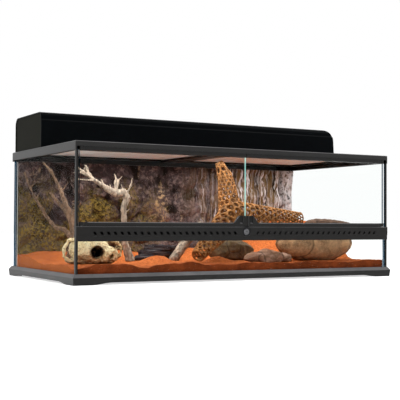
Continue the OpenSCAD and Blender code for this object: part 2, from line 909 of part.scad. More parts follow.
// Section of the hood, drawn in by t: a rounded top edge over a groove, and a rounder rear edge
function hood_section(t) =
    let (front = hood_y + t, back = hood_back - t, top = hood_top - t,
         rf = hood_front_r - t, rr = hood_rear_r - t, g = hood_groove)
    concat([[front, hood_z - (t > 0 ? 1 : 0)], [front, top - rf - 9], [front + g, top - rf - 6],
            [front + g, top - rf - 2]],
           arc([front + g + rf, top - rf], rf, 180, 90, 10),
           arc([back - rr, top - rr], rr, 90, 0, 12),
           [[back, hood_z - (t > 0 ? 1 : 0)]]);

// Front view of the hood, drawn in by t: plain at the left, rounded and drafted at the right
function hood_front(t) =
    let (right = hood_x - t, top = hood_top - t, r = hood_corner - t)
    concat([[-far, hood_z - (t > 0 ? 1 : 0)], [-far, top]],
           arc([right - hood_draft - r, top - r], r, 90, 0, 14),
           [[right, hood_z - (t > 0 ? 1 : 0)]]);

module hood_solid(left, t) {
    intersection() {
        along_x(left, hood_x + 1)
            polygon(hood_section(t));
        along_y(hood_y - 1, hood_back + 1)
            polygon([for (p = hood_front(t)) [max(left, p[0]), p[1]]]);
    }
}

module hood_housing() {
    color("#141618")
        difference() {
            hood_solid(-hood_x, 0);
            hood_solid(-hood_x - 1, hood_wall);
            for (i = [0:hood_vents - 1])
                translate([(i - (hood_vents - 1) / 2) * 40, 0, 0])
                    span([-14, hood_back - hood_wall - 2, hood_top - 36], [14, far, hood_top - 31]);
            span([switch_x - rocker_w / 2 - 2, hood_back - 10, switch_z - rocker_l / 2 - 3],
                 [switch_x + rocker_w / 2 + 2, far, switch_z + rocker_l / 2 + 3]);
            translate([gland_x, hood_back - 10, gland_z])
                rotate([-90, 0, 0])
                    cylinder(h = 20, r = gland_bore + 1.7);
        }
}

module hood_end_plate() {
    color("#2c2d27")
        along_x(cap_inset - hood_x, cap_inset + cap_t - hood_x)
            polygon([for (p = hood_section(hood_wall + 0.2)) [p[0], max(p[1], hood_z + 0.4)]]);
}

// Folded sheet under the top of the hood
module hood_reflector() {
    y0 = hood_y + hood_wall + 0.4;
    y1 = hood_back - hood_wall - 0.4;
    fold = 46;
    drop = 26;
    color("silver")
        along_x(cap_inset + cap_t + 1 - hood_x, hood_x - hood_corner)
            polygon([[y0, reflector_z - drop], [y0 + fold, reflector_z], [y1 - fold, reflector_z],
                     [y1, reflector_z - drop], [y1, reflector_z - drop - reflector_t],
                     [y1 - fold - 0.5, reflector_z - reflector_t],
                     [y0 + fold + 0.5, reflector_z - reflector_t],
                     [y0, reflector_z - drop - reflector_t]]);
}

// A lamp socket on its bracket, its mouth facing the middle of the hood
module lamp_socket(side, i) {
    x = side * (socket_x - i * socket_pitch);
    y = socket_y + side * (1 - 2 * i) * socket_stagger;
    z = socket_z - i * socket_step;
    color("#e8e4da") {
        translate([x, y, z])
            rotate([0, -side * 90, 0])
                difference() {
                    cylinder(h = socket_l, r = socket_r);
                    translate([0, 0, socket_l - socket_deep])
                        cylinder(h = socket_deep + 1, r = socket_bore);
                }
        span([x, y - 12, z], [x - side * 10, y + 12, reflector_z - reflector_t]);
    }
}

module lamp_socket_1() {
    lamp_socket(-1, 0);
}

module lamp_socket_2() {
    lamp_socket(-1, 1);
}

module lamp_socket_3() {
    lamp_socket(1, 1);
}

module lamp_socket_4() {
    lamp_socket(1, 0);
}

module terminal_box() {
    color("#33363a")
        span([-35, socket_y - 20, reflector_z + 0.2], [35, socket_y + 20, hood_top - hood_wall - 0.5]);
}

module cable_gland() {
    color("#101214")
        translate([gland_x, hood_back - hood_wall - 4, gland_z])
            rotate([-90, 0, 0])
                difference() {
                    union() {
                        cylinder(h = hood_wall + 4.2, r = gland_bore + 1.6);
                        translate([0, 0, hood_wall + 4.2])
                            cylinder(h = 2, r = gland_bore + 4);
                        translate([0, 0, hood_wall + 6.2])
                            cylinder(h = 8, r1 = gland_bore + 2.4, r2 = gland_bore + 1.4);
                    }
                    translate([0, 0, -1])
                        cylinder(h = 30, r = gland_bore);
                }
}

module switch_bezel() {
    hx = rocker_w / 2 + 1.8;
    hz = rocker_l / 2 + 2.8;
    color("#101214")
        difference() {
            union() {
                span([switch_x - hx, hood_back - 9, switch_z - hz],
                     [switch_x + hx, hood_back + 0.2, switch_z + hz]);
                span([switch_x - hx - 2, hood_back + 0.2, switch_z - hz - 2],
                     [switch_x + hx + 2, hood_back + 1.4, switch_z + hz + 2]);
            }
            span([switch_x - rocker_w / 2 - 0.3, hood_back - 20, switch_z - rocker_l / 2 - 1],
                 [switch_x + rocker_w / 2 + 0.3, far, switch_z + rocker_l / 2 + 1]);
        }
}

module switch_rocker() {
    color("#1d1f21")
        translate([switch_x, hood_back - 3.5, switch_z])
            rotate([-rocker_tilt, 0, 0])
                difference() {
                    span([-rocker_w / 2, -4, -rocker_l / 2], [rocker_w / 2, 6, rocker_l / 2]);
                    translate([-rocker_w / 2 - 1, 6 + 18.6, 0])
                        rotate([0, 90, 0])
                            cylinder(h = rocker_w + 2, r = 20);
                }
}

// ---- Habitat ----

// How far the sand is pressed flat under a stone: 1 under it, 0 well away from it
function pad_weight(x, y, p) =
    let (d = sqrt(pow((x - p[0]) / (p[2] + 20), 2) + pow((y - p[1]) / (p[3] + 20), 2)))
    1 - ease((d - 1.1) / 0.7);

function max_of(list, i = 0) = i >= len(list) ? 0 : max(list[i], max_of(list, i + 1));

// A small cone-shaped pile of sand
function pile(x, y, c, h, r) =
    let (d = norm([x - c[0], y - c[1]]) / r) h * max(0, 1 - d) * max(0, 1 - d * 0.4);

// Waves along the front, a rise towards the rear and a heap at the right rear
function natural_sand(x, y) =
    5 * sin(x * 1.9 + 45) + 2.5 * sin(x * 4.3 + y * 1.7)
    + 17 * ease((y + 60) / 250)
    + heap_h * ease((y + 170) / 230) * ease((x - (in_x - 235) + y * 0.25) / 230)
    + 16 * ease((y + 40) / 160) * ease((x + 40) / 200)
    + pile(x, y, [-12, 118 - in_y], 24, 58) + pile(x, y, [-190, 112 - in_y], 17, 75);

function sand_at(x, y) =
    sand_z0 + natural_sand(x, y) * (1 - max_of([for (p = PADS) pad_weight(x, y, p)]));

module sand_bed() {
    color(sand_orange)
        height_slab(0.3 - in_x, in_x - 0.3, 0.3 - in_y, sand_back, 40, 20, floor_z + 0.1,
                    function(x, y) sand_at(x, y));
}

// Relief of the rock panel: broad folds with ledges, plain where the sand covers it
function rock_depth(x, z) =
    let (folds = 0.5 + 0.25 * sin(x * 1.3 + 20) + 0.2 * sin(x * 3.1 + z * 0.7)
             + 0.15 * sin(x * 5.3 - z * 1.1),
         ledges = 0.25 * sin(z * 2.2 + 40 * sin(x * 0.9)))
    panel_t + relief * max(0, min(1, folds + ledges)) * ease((z - sand_at(x, sand_back) - 15) / 30);

module rock_background() {
    color("#5a4a48")
        translate([0, in_y - pane_gap, 0])
            rotate([90, 0, 0])
                height_slab(bead + 0.5 - in_x, in_x - bead - 0.5, floor_z + 0.1, panel_top, 44, 14, 0,
                            function(x, z) rock_depth(x, z));
}

module boulder() {
    color("#a08a68")
        translate([boulder_at[0], boulder_at[1], sand_z0 + bed_gap])
            stone([boulder_at[2], boulder_at[3], boulder_h / 2], 30, 0.03, 0.08, 24, 12);
}

module flat_stone() {
    color("#8d6f5c")
        translate([flat_at[0], flat_at[1], sand_z0 + bed_gap])
            stone([flat_at[2], flat_at[3], 19], 75, 0.15, 0.4);
}

module dark_rock() {
    color("#5d4c38")
        translate([dark_at[0], dark_at[1], sand_z0 + bed_gap])
            stone([dark_at[2], dark_at[3], 34], 140, 0.09, 0.35);
}

// Slate-like rock of three thin sheets on each other
module layered_rock() {
    color("#40363a")
        for (i = [0:2])
            translate([layered_at[0] + 6 * i, layered_at[1] - 4 * i, sand_z0 + bed_gap + sheet_pitch * i])
                intersection() {
                    translate([0, 0, -9])
                        stone([layered_at[2] - 6 * i, layered_at[3] - 4 * i, 22], 50 + 70 * i, 0.1, 0.3);
                    span([-far, -far, 0], [far, far, sheet_pitch - bed_gap]);
                }
}

// A weathered skull that lies on its jaw: brain case, face, cheek arches at both ends and the eye socket
module animal_skull() {
    color("#e2d3a4")
        translate([skull_at[0], skull_at[1], sand_z0 + bed_gap])
            difference() {
                union() {
                    stone([52, 34, 38], 10, 0.04, 0.14, 24, 12);
                    translate([36, -6, 0])
                        stone([34, 26, 23], 80, 0.06, 0.1);
                    branch([[-34, -6, 7, 7], [-58, -12, 8, 5], [-70, -14, 20, 4], [-70, -14, 38, 4],
                            [-58, -10, 56, 4.5], [-28, 0, 60, 6]]);
                    branch([[52, -10, 14, 6], [72, -18, 20, 4], [74, -18, 40, 3.5], [62, -12, 54, 4],
                            [36, -2, 56, 6]]);
                }
                translate([6, -60, 29])
                    rotate([-90, 0, 0])
                        cylinder(h = 62, r1 = 18, r2 = 12, $fn = 20);
                translate([44, -60, 12])
                    rotate([-80, 0, 0])
                        cylinder(h = 50, r = 6, $fn = 12);
                span([-far, -far, -far], [far, far, 0]);
            }
}

// Pale driftwood, placed from the left pane
module pale_driftwood() {
    color("#d8cbb8")
        translate([-in_x, 0, sand_z0])
            difference() {
                union() {
                    branch([[232, 0, 2, 13], [217, 0, 44, 9], [214, 0, 104, 8], [211, 0, 140, 7.5],
                            [222, 0, 160, 9], [213, 0, 177, 10], [188, 0, 173, 9], [164, 0, 186, 7.5],
                            [130, 0, 206, 5.5], [106, 2, 234, 2.5]], 9);
                    branch([[146, 0, 197, 5], [118, -4, 212, 3.5], [86, -6, 234, 2.2]]);
                    branch([[130, 0, 206, 3.5], [120, 6, 222, 3], [112, 10, 242, 2]]);
                    branch([[138, 0, 205, 3], [128, -6, 204, 2.4], [76, -10, 207, 1.8]], 6);
                    branch([[218, 0, 166, 4], [227, -8, 192, 2.5], [232, -10, 212, 1.6]], 6);
                    branch([[190, 0, 176, 6], [196, 8, 202, 6], [191, 10, 222, 2]]);
                }
                span([-far, -far, -far], [far, far, bed_gap]);
            }
}

// Thin dark branches that grow from one root, placed from the left pane
module dark_driftwood() {
    color("#6b5138")
        translate([-in_x, 0, sand_z0])
            difference() {
                union() {
                    branch([[84, 40, 4, 12], [92, 34, 40, 12], [96, 48, 80, 10], [94, 52, 118, 7],
                            [80, 62, 144, 6], [76, 96, 188, 5], [58, 104, 226, 4], [44, 128, 252, 3]]);
                    branch([[96, 48, 84, 7], [80, 62, 128, 6], [74, 84, 144, 5], [58, 118, 176, 3]]);
                    branch([[92, 36, 56, 9], [74, 56, 80, 6], [60, 82, 86, 5], [44, 110, 116, 4],
                            [24, 132, 158, 3.5], [11, 152, 200, 3], [7, 170, 228, 2]]);
                }
                span([-far, -far, -far], [far, far, bed_gap]);
            }
}

// A tapering prism on z = 0 with n sides
module taper(long, r1, r2, n) {
    linear_extrude(long, scale = r2 / r1)
        polygon([for (i = [0:n - 1]) r1 * [cos(360 * i / n), sin(360 * i / n)]]);
}

// One arm of the cactus skeleton: a hollow tapering tube with staggered rows of six-sided holes
module net_arm(a, b, r1, r2, hole_rows = 4) {
    v = b - a;
    long = norm(v);
    n = floor((long - 14) / net_pitch);
    translate(a)
        rotate([0, acos(v[2] / long), atan2(v[1], v[0])])
            difference() {
                taper(long, r1, r2, 18);
                translate([0, 0, -1])
                    taper(long + 2, r1 - cactus_wall, r2 - cactus_wall, 12);
                if (n > 0)
                    for (row = [0:hole_rows - 1])
                        for (i = [0:n - 1])
                            let (z = 14 + (i + (row % 2) / 2) * net_pitch)
                                rotate([0, 0, row * 180 / hole_rows])
                                    translate([0, 0, z])
                                        net_hole((r1 + (r2 - r1) * z / long) * 0.24);
            }
}

// A six-sided hole through both walls of an arm, longer along the arm than across it
module net_hole(r) {
    rotate([0, 90, 0])
        linear_extrude(120, center = true)
            polygon([for (i = [0:5]) r * [1.45 * cos(60 * i), sin(60 * i)]]);
}

// Skeleton of a cactus: a leaning trunk that forks into a lying and an upright arm
module cactus_wood() {
    fork = [40, 124 - in_y, sand_z0 + 118];
    elbow = [38, 156 - in_y, panel_top - 40];
    color("#c98f4c")
        difference() {
            union() {
                net_arm([-98, 62 - in_y, sand_z0 + 16], fork, 20, 42);
                net_arm(fork - [14, 0, -2], [in_x - 188, 118 - in_y, sand_z0 + 112], 43, 19);
                net_arm(fork - [-2, -6, 4], elbow, 36, 22);
                net_arm(elbow - [0, 0, 3], [26, 168 - in_y, panel_top - 1], 21.5, 12);
            }
            span([-far, -far, -far], [far, far, sand_z0 + bed_gap]);
        }
}

module leaning_log() {
    a = [-112, 158 - in_y, sand_z0 + 8];
    b = [-34, 162 - in_y, sand_z0 + 92];
    color("#cbb894")
        difference() {
            branch([[a[0], a[1], a[2], 13], [-72, 160 - in_y, sand_z0 + 56, 13], [b[0], b[1], b[2], 11]], 12);
            span([-far, -far, -far], [far, far, sand_z0 + bed_gap]);
        }
}

// A strip of bark that lies on the boulder
module bark_slab() {
    color("#7a5a44")
        translate([bark_at[0], bark_at[1], sand_z0 + boulder_h * 0.96 + 2 * bed_gap])
            stone([bark_at[2], bark_at[3], 8], 200, 0.04, 0.5);
}

base_frame();
floor_glass();
left_side_glass();
right_side_glass();
rear_glass();
lower_front_glass();
corner_seals();
left_corner_post();
right_corner_post();
vent_strip();
lock_collar();
lock_barrel();
lock_cam();
top_frame();
inlet_shutter_1();
inlet_shutter_2();
inlet_shutter_3();
inlet_shutter_4();
left_door_glass();
left_door_lower_rail();
left_door_upper_rail();
left_door_pins();
right_door_glass();
right_door_lower_rail();
right_door_upper_rail();
right_door_pins();
screen_frame();
left_screen_mesh();
right_screen_mesh();
hood_housing();
hood_end_plate();
hood_reflector();
lamp_socket_1();
lamp_socket_2();
lamp_socket_3();
lamp_socket_4();
terminal_box();
cable_gland();
switch_bezel();
switch_rocker();
rock_background();
sand_bed();
animal_skull();
pale_driftwood();
dark_driftwood();
cactus_wood();
leaning_log();
bark_slab();
boulder();
flat_stone();
dark_rock();
layered_rock();
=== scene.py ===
"""Looks of a front-opening terrarium: moulded plastic, glass, mesh, light hood and a desert habitat."""

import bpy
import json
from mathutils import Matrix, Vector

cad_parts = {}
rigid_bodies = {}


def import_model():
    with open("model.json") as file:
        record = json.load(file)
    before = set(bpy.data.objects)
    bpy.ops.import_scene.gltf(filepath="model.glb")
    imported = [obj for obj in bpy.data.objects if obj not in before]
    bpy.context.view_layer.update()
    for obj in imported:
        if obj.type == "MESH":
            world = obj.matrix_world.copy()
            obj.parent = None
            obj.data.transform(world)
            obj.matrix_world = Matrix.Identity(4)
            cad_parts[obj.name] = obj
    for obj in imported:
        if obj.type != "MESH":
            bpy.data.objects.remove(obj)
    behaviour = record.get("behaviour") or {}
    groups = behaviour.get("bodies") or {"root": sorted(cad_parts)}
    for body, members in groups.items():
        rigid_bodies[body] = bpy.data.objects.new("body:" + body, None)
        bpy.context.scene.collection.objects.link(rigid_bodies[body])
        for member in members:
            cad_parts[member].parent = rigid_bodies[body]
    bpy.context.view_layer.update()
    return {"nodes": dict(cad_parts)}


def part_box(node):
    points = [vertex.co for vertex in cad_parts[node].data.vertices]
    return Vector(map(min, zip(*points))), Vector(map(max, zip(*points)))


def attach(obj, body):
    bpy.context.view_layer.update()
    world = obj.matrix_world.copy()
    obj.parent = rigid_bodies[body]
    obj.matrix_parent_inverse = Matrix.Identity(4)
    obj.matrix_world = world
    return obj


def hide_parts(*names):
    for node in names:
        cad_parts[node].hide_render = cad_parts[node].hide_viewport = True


bl_info = {
    "name": "Terrarium looks",
    "version": (1, 0, 0),
    "blender": (4, 5, 0),
    "location": "View3D > Sidebar > Terrarium",
    "description": "Finishes the panes, frames and hood of a terrarium and models its habitat",
    "category": "Object",
}

import json
import math

import bmesh
import bpy
from bpy.props import FloatProperty, FloatVectorProperty, IntProperty, PointerProperty
from bpy.types import Operator, Panel, PropertyGroup
from mathutils import Matrix, Vector, noise

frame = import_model()

BLACK_PARTS = ["base_frame", "top_frame", "vent_strip", "left_corner_post", "right_corner_post",
               "left_door_lower_rail", "left_door_upper_rail", "right_door_lower_rail",
               "right_door_upper_rail", "screen_frame", "inlet_shutter_1", "inlet_shutter_2",
               "inlet_shutter_3", "inlet_shutter_4"]
PANES = {"floor_glass": 2, "left_side_glass": 0, "right_side_glass": 0, "rear_glass": 1,
         "lower_front_glass": 1, "left_door_glass": 1, "right_door_glass": 1}

# Glass: an IOR far below the 1.5 of real glass, so that no grey veil lies over the habitat
GLASS_IOR = 1.02
# Emission strength of the doors' split edge: a painted highlight
PAINTED_EDGE_GLOW = 0.9

# Plastic: dust on top, a painted highlight on the upward bevels, and painted shade where no light gets
# in
DUST = (0.09, 0.08, 0.07)
# Colour of the painted highlight on the upward bevels
BEVEL_HIGHLIGHT = (0.15, 0.145, 0.150)
# Painted shade inside the vent strip's slots
UNLIT = (0.0004, 0.0004, 0.0004)

# Where a pattern fades in, from none to full, along one axis (m)
# Painted shade on the sand near the front glass
SHADE_NEAR_FRONT_GLASS = (-0.165, -0.214)
BONE_STAIN = (-0.375, -0.300)
LICHEN_DOWN = (0.275, 0.20)
LICHEN_LEFT = (0.02, -0.16)
STREAKS_RIGHT = (0.02, 0.26)
PALE_END = (0.055, 0.020)  # before the panel's right end
WALL_ROOM = (0.004, 0.003)  # how far crags may stand before the solid's front, and stay off its back

SAND_LEVEL_MM = 42

# Twigs: start and end (mm from the tank's left inner wall, its middle and the sand's level), radius (m)
TWIGS = {
    "pale_driftwood": (
        ((130, 0, 206), (94, -8, 221), 0.0018), ((116, -4, 213), (103, -2, 244), 0.0016),
        ((100, -5, 224), (72, -10, 222), 0.0015), ((164, 0, 186), (152, 6, 208), 0.0016),
        ((178, 0, 178), (170, -6, 199), 0.0016), ((196, 6, 203), (209, 0, 219), 0.0016),
        ((214, 0, 176), (206, 4, 197), 0.0018), ((212, 0, 120), (226, -6, 134), 0.0020)),
    "dark_driftwood": (
        ((94, 52, 118), (112, 44, 148), 0.0022), ((78, 90, 176), (93, 80, 203), 0.0018),
        ((66, 100, 210), (50, 92, 238), 0.0016), ((44, 110, 116), (30, 100, 142), 0.0017),
        ((24, 132, 158), (37, 120, 186), 0.0016), ((82, 62, 142), (66, 50, 171), 0.0018)),
}

# Arms of the cactus skeleton: name, start, end, radius at both (m), holes fewer round, strand's share
NET_ARMS = (
    ("cactus_net_lying", (0.026, -0.092, 0.162), (0.252, -0.098, 0.154), 0.0425, 0.0185, 0, 1.0),
    ("cactus_net", (-0.096, -0.153, 0.060), (0.040, -0.092, 0.160), 0.0195, 0.040, 4, 1.5),
    ("upright_arm", (0.042, -0.086, 0.156), (0.038, -0.060, 0.262), 0.0355, 0.0215, 0, 1.0),
    ("top_arm", (0.038, -0.060, 0.262), (0.026, -0.048, 0.300), 0.0215, 0.012, 3, 1.0))

# Lamps: name, place, aim, size (m), power (W), second side of a long one
LAMPS = (
    ("key", (-3.0, -1.35, 2.0), (0, 0, 0.2), 1.6, 46.0, None),
    ("fill", (1.35, -0.95, 2.3), (0, -0.2, 0.05), 0.9, 24.0, 2.6),
    ("rim", (0.2, 1.8, 2.2), (0, 0.1, 0.3), 1.6, 10.0, None))
TANK_LAMP = ("tank_light", (0, -0.02, 0.302), (0, -0.02, 0), 0.80, 3.2, 0.30)

# White background: the floor's glow where it is seen directly, the world's strength as light and as seen
FLOOR_GLOW = 0.62
WORLD_LIGHT, WORLD_SEEN = 0.5, 1.0

# The camera that was fitted to the photo: place (m), angles (radians) and lens (mm)
CAMERA_AT = (-1.21517, -2.161, 0.1428)
CAMERA_TURN, CAMERA_PITCH, CAMERA_ROLL = -0.5106176, 0.0240203, 0.00485
CAMERA_LENS = 83.28


def colour(name, value, text):
    return FloatVectorProperty(name=name, description=text, default=value, subtype="COLOR",
                               size=3, min=0, max=1)


def length(name, value, text, low, high):
    return FloatProperty(name=name, description=text, default=value, unit="LENGTH",
                         min=low, max=high, precision=4)


class TerrariumColours(PropertyGroup):
    """Colours of the tank and of its habitat"""

    plastic: colour("Plastic", (0.0068, 0.0064, 0.0060), "Moulded frames, rails and strip")
    hood: colour("Hood", (0.0012, 0.0018, 0.0024), "Light hood")
    end_plate: colour("End plate", (0.0090, 0.0090, 0.0062), "Plate in the hood's left end")
    glass: colour("Glass", (0.985, 0.996, 0.992), "Tint of a pane seen through its faces")
    glass_edge: colour("Glass edge", (0.0004, 0.0030, 0.0080), "Cut edges of a pane")
    door_edge: colour("Door edge", (0.36, 0.80, 0.74), "Polished edge at the doors' split")
    wire: colour("Wire", (0.88, 0.87, 0.85), "Wire of the screen mesh")
    sand: colour("Sand", (0.66, 0.185, 0.045), "Sand in full light")
    # Darker sand: random tone, and painted shade near the front glass and on the sides not turned up or
    # left
    sand_deep: colour("Damp sand", (0.20, 0.040, 0.010), "Sand in hollows and against the glass")
    rock: colour("Background", (0.040, 0.027, 0.027), "Rock background")
    # Painted shade in the background's hollows
    rock_shade: colour("Background folds", (0.008, 0.005, 0.004), "Hollows of the rock background")
    moss: colour("Moss", (0.20, 0.135, 0.028), "Lichen on the background and the dark rock")
    streak: colour("Streaks", (0.76, 0.69, 0.69), "Pale mineral streaks on the background")
    bone: colour("Bone", (0.80, 0.62, 0.33), "Skull")
    pale_wood: colour("Pale wood", (0.30, 0.235, 0.175), "Sun-bleached driftwood")
    dark_wood: colour("Dark wood", (0.135, 0.080, 0.048), "Weathered thin branches")
    cactus: colour("Cactus wood", (0.30, 0.130, 0.038), "Netted cactus skeleton")
    bark: colour("Bark", (0.105, 0.058, 0.036), "Strip of bark")
    boulder: colour("Boulder", (0.40, 0.235, 0.118), "Large boulder")
    red_stone: colour("Flat stone", (0.24, 0.120, 0.068), "Flat stone in front")
    dark_rock: colour("Dark rock", (0.110, 0.070, 0.038), "Dark rock beside the boulder")
    slate: colour("Slate", (0.014, 0.009, 0.011), "Layered rock")


class TerrariumSizes(PropertyGroup):
    """Sizes of the details that are modelled here"""

    wire_pitch: length("Wire pitch", 0.0030, "From one wire of the screen to the next", 0.002, 0.006)
    wire_radius: length("Wire radius", 0.0003, "Radius of a wire of the screen", 0.0002, 0.0004)
    crag: length("Crags", 0.006, "Height of the background's crags", 0.0, 0.009)
    ripple: length("Ripples", 0.0032, "Height of the ripples in the sand", 0.0, 0.005)
    net_cell: length("Net cell", 0.017, "Length of a hole in the cactus skeleton", 0.012, 0.034)
    net_strand: length("Net strand", 0.0058, "Thickness of the skeleton's strands", 0.003, 0.009)
    net_round: IntProperty(name="Cells round", description="Holes round an arm of the skeleton",
                           default=12, min=8, max=14)


def colours():
    return bpy.context.scene.terrarium_colours


def sizes():
    return bpy.context.scene.terrarium_sizes


# ---- Objects ----


def pick(o):
    """Makes o the only selected and the active object."""
    for other in bpy.context.view_layer.objects:
        other.select_set(False)
    o.select_set(True)
    bpy.context.view_layer.objects.active = o


def apply_place(o):
    pick(o)
    bpy.ops.object.transform_apply(location=True, rotation=True, scale=True)


def add_modifier(o, kind, **settings):
    """Adds a modifier with these settings and applies it."""
    pick(o)
    m = o.modifiers.new(kind.lower(), kind)
    for key, value in settings.items():
        setattr(m, key, value)
    bpy.ops.object.modifier_apply(modifier=m.name)


def relief_texture(name, kind, size, **settings):
    t = bpy.data.textures.new(name, kind)
    t.noise_scale = size
    for key, value in settings.items():
        setattr(t, key, value)
    return t


def roughen(o, name, size, strength, kind="CLOUDS", group="", direction="NORMAL", **settings):
    """Moves o's surface in and out by a noise of that size."""
    add_modifier(o, "DISPLACE", texture=relief_texture(name, kind, size, **settings),
                 texture_coords="LOCAL", strength=strength, mid_level=0.5, vertex_group=group,
                 direction=direction)


def copy_of(node, name):
    """A merged copy of a CAD node's mesh, to be worked into a finer piece."""
    mesh = frame["nodes"][node].data.copy()
    mesh.name = name
    mesh.materials.clear()
    o = bpy.data.objects.new(name, mesh)
    bpy.context.scene.collection.objects.link(o)
    pick(o)
    bpy.ops.object.mode_set(mode="EDIT")
    bpy.ops.mesh.select_all(action="SELECT")
    bpy.ops.mesh.remove_doubles(threshold=0.00002)
    bpy.ops.object.mode_set(mode="OBJECT")
    return o


def remesh(o, voxel, smooth=2):
    pick(o)
    o.data.remesh_voxel_size = voxel
    bpy.ops.object.voxel_remesh()
    if smooth:
        add_modifier(o, "SMOOTH", factor=0.5, iterations=smooth)


def put_on(o, body, material, replaced=()):
    """The last step for a piece: its finish, and the body it moves with."""
    o.data.materials.clear()
    o.data.materials.append(material)
    pick(o)
    bpy.ops.object.shade_smooth_by_angle(angle=math.radians(50))
    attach(o, body)
    if replaced:
        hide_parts(*replaced)


def finish_node(name, material):
    """Gives a CAD node its material."""
    mesh = frame["nodes"][name].data
    mesh.materials.clear()
    mesh.materials.append(material)


# ---- Shader nodes ----


def put(tree, kind, settings=None, **inputs):
    """Adds a node. An input takes a value or another node's output; _0 is the input with index 0."""
    n = tree.nodes.new(kind)
    for key, value in (settings or {}).items():
        setattr(n, key, value)
    for key, value in inputs.items():
        numbered = key[0] == "_" and key[1:].isdigit()
        plug(tree, n, int(key[1:]) if numbered else key.replace("_", " "), value)
    return n


def plug(tree, n, key, value):
    if isinstance(value, bpy.types.NodeSocket):
        tree.links.new(value, n.inputs[key])
    elif isinstance(value, (tuple, list)) and len(value) == 3 and n.inputs[key].type == "RGBA":
        n.inputs[key].default_value = (*value, 1)
    else:
        n.inputs[key].default_value = value


def mix(tree, share, a, b, blend="MIX"):
    """Two colours, or sockets, mixed by share."""
    n = tree.nodes.new("ShaderNodeMix")
    n.data_type = "RGBA"
    n.blend_type = blend
    plug(tree, n, 0, share)
    plug(tree, n, 6, a)
    plug(tree, n, 7, b)
    return n.outputs[2]


def maths(tree, kind, a, b=0.0):
    n = put(tree, "ShaderNodeMath", {"operation": kind})
    plug(tree, n, 0, a)
    plug(tree, n, 1, b)
    return n.outputs[0]


def times(tree, a, b):
    return maths(tree, "MULTIPLY", a, b)


def plus(tree, a, b):
    return maths(tree, "ADD", a, b)


def larger(tree, a, b):
    return maths(tree, "MAXIMUM", a, b)


def scaled(base, share):
    """A colour made darker or paler, at most 1."""
    return tuple(min(1, x * share) for x in base)


def span(tree, value, low, high, out_low=0.0, out_high=1.0):
    """Maps value from low..high to out_low..out_high, clamped."""
    n = tree.nodes.new("ShaderNodeMapRange")
    for i, v in enumerate((value, low, high, out_low, out_high)):
        plug(tree, n, i, v)
    return n.outputs[0]


def group(name, inputs, outputs, build):
    """A shared effect as a node group, built once."""
    if name in bpy.data.node_groups:
        return bpy.data.node_groups[name]
    g = bpy.data.node_groups.new(name, "ShaderNodeTree")
    for key, kind, value in inputs:
        s = g.interface.new_socket(name=key, in_out="INPUT", socket_type="NodeSocket" + kind)
        if value is not None:
            s.default_value = value
    for key, kind in outputs:
        g.interface.new_socket(name=key, in_out="OUTPUT", socket_type="NodeSocket" + kind)
    build(g, g.nodes.new("NodeGroupInput").outputs, g.nodes.new("NodeGroupOutput"))
    return g


def build_mottle(g, given, out):
    n = put(g, "ShaderNodeTexNoise", Vector=given["Vector"], Scale=given["Scale"], Detail=5.0,
            Roughness=0.62, Distortion=given["Swirl"])
    mask = span(g, n.outputs["Fac"], given["Low"], given["High"])
    g.links.new(mask, out.inputs["Mask"])
    g.links.new(n.outputs["Fac"], out.inputs["Height"])


def mottle(tree, vector, scale, low=0.4, high=0.6, swirl=0.0):
    """Soft patches: a mask from 0 to 1, and the noise behind it."""
    g = group("Mottle",
              [("Vector", "Vector", None), ("Scale", "Float", 10.0), ("Low", "Float", 0.4),
               ("High", "Float", 0.6), ("Swirl", "Float", 0.0)],
              [("Mask", "Float"), ("Height", "Float")], build_mottle)
    n = put(tree, "ShaderNodeGroup", {"node_tree": g}, Vector=vector, Scale=scale, Low=low,
            High=high, Swirl=swirl)
    return n.outputs["Mask"], n.outputs["Height"]


def build_streaks(g, given, out):
    stretched = put(g, "ShaderNodeVectorMath", {"operation": "MULTIPLY"}, _0=given["Vector"],
                    _1=given["Stretch"])
    n = put(g, "ShaderNodeTexNoise", Vector=stretched.outputs[0], Scale=1.0, Detail=4.0,
            Roughness=0.55, Distortion=0.35)
    g.links.new(span(g, n.outputs["Fac"], given["Low"], given["High"]), out.inputs["Mask"])
    g.links.new(n.outputs["Fac"], out.inputs["Height"])


def streaks(tree, vector, stretch, low=0.4, high=0.6):
    """Long patches: stretch holds the noise's scale along X, Y and Z."""
    g = group("Streaks",
              [("Vector", "Vector", None), ("Stretch", "Vector", None), ("Low", "Float", 0.4),
               ("High", "Float", 0.6)],
              [("Mask", "Float"), ("Height", "Float")], build_streaks)
    n = put(tree, "ShaderNodeGroup", {"node_tree": g}, Vector=vector, Stretch=stretch, Low=low,
            High=high)
    return n.outputs["Mask"], n.outputs["Height"]


def build_cracks(g, given, out):
    warp = put(g, "ShaderNodeTexNoise", Vector=given["Vector"], Scale=given["Scale"], Detail=3.0)
    moved = put(g, "ShaderNodeVectorMath", {"operation": "MULTIPLY_ADD"}, _0=warp.outputs["Color"],
                _1=given["Warp"], _2=given["Vector"])
    n = put(g, "ShaderNodeTexVoronoi", {"feature": "DISTANCE_TO_EDGE"}, Vector=moved.outputs[0],
            Scale=given["Scale"])
    g.links.new(span(g, n.outputs["Distance"], 0.0, given["Width"]), out.inputs["Whole"])


def cracks(tree, vector, scale, width=0.05, warp=0.01):
    """0 in the cracks of a broken surface and 1 between them."""
    g = group("Cracks",
              [("Vector", "Vector", None), ("Scale", "Float", 10.0), ("Width", "Float", 0.05),
               ("Warp", "Vector", None)],
              [("Whole", "Float")], build_cracks)
    n = put(tree, "ShaderNodeGroup", {"node_tree": g}, Vector=vector, Scale=scale, Width=width,
            Warp=(warp, warp, warp))
    return n.outputs["Whole"]


def build_grain(g, given, out):
    fine = put(g, "ShaderNodeTexNoise", Vector=given["Vector"], Scale=given["Scale"], Detail=2.0)
    cells = put(g, "ShaderNodeTexVoronoi", Vector=given["Vector"], Scale=given["Scale"])
    g.links.new(times(g, cells.outputs["Distance"], 0.6), out.inputs["Height"])
    g.links.new(fine.outputs["Fac"], out.inputs["Tone"])


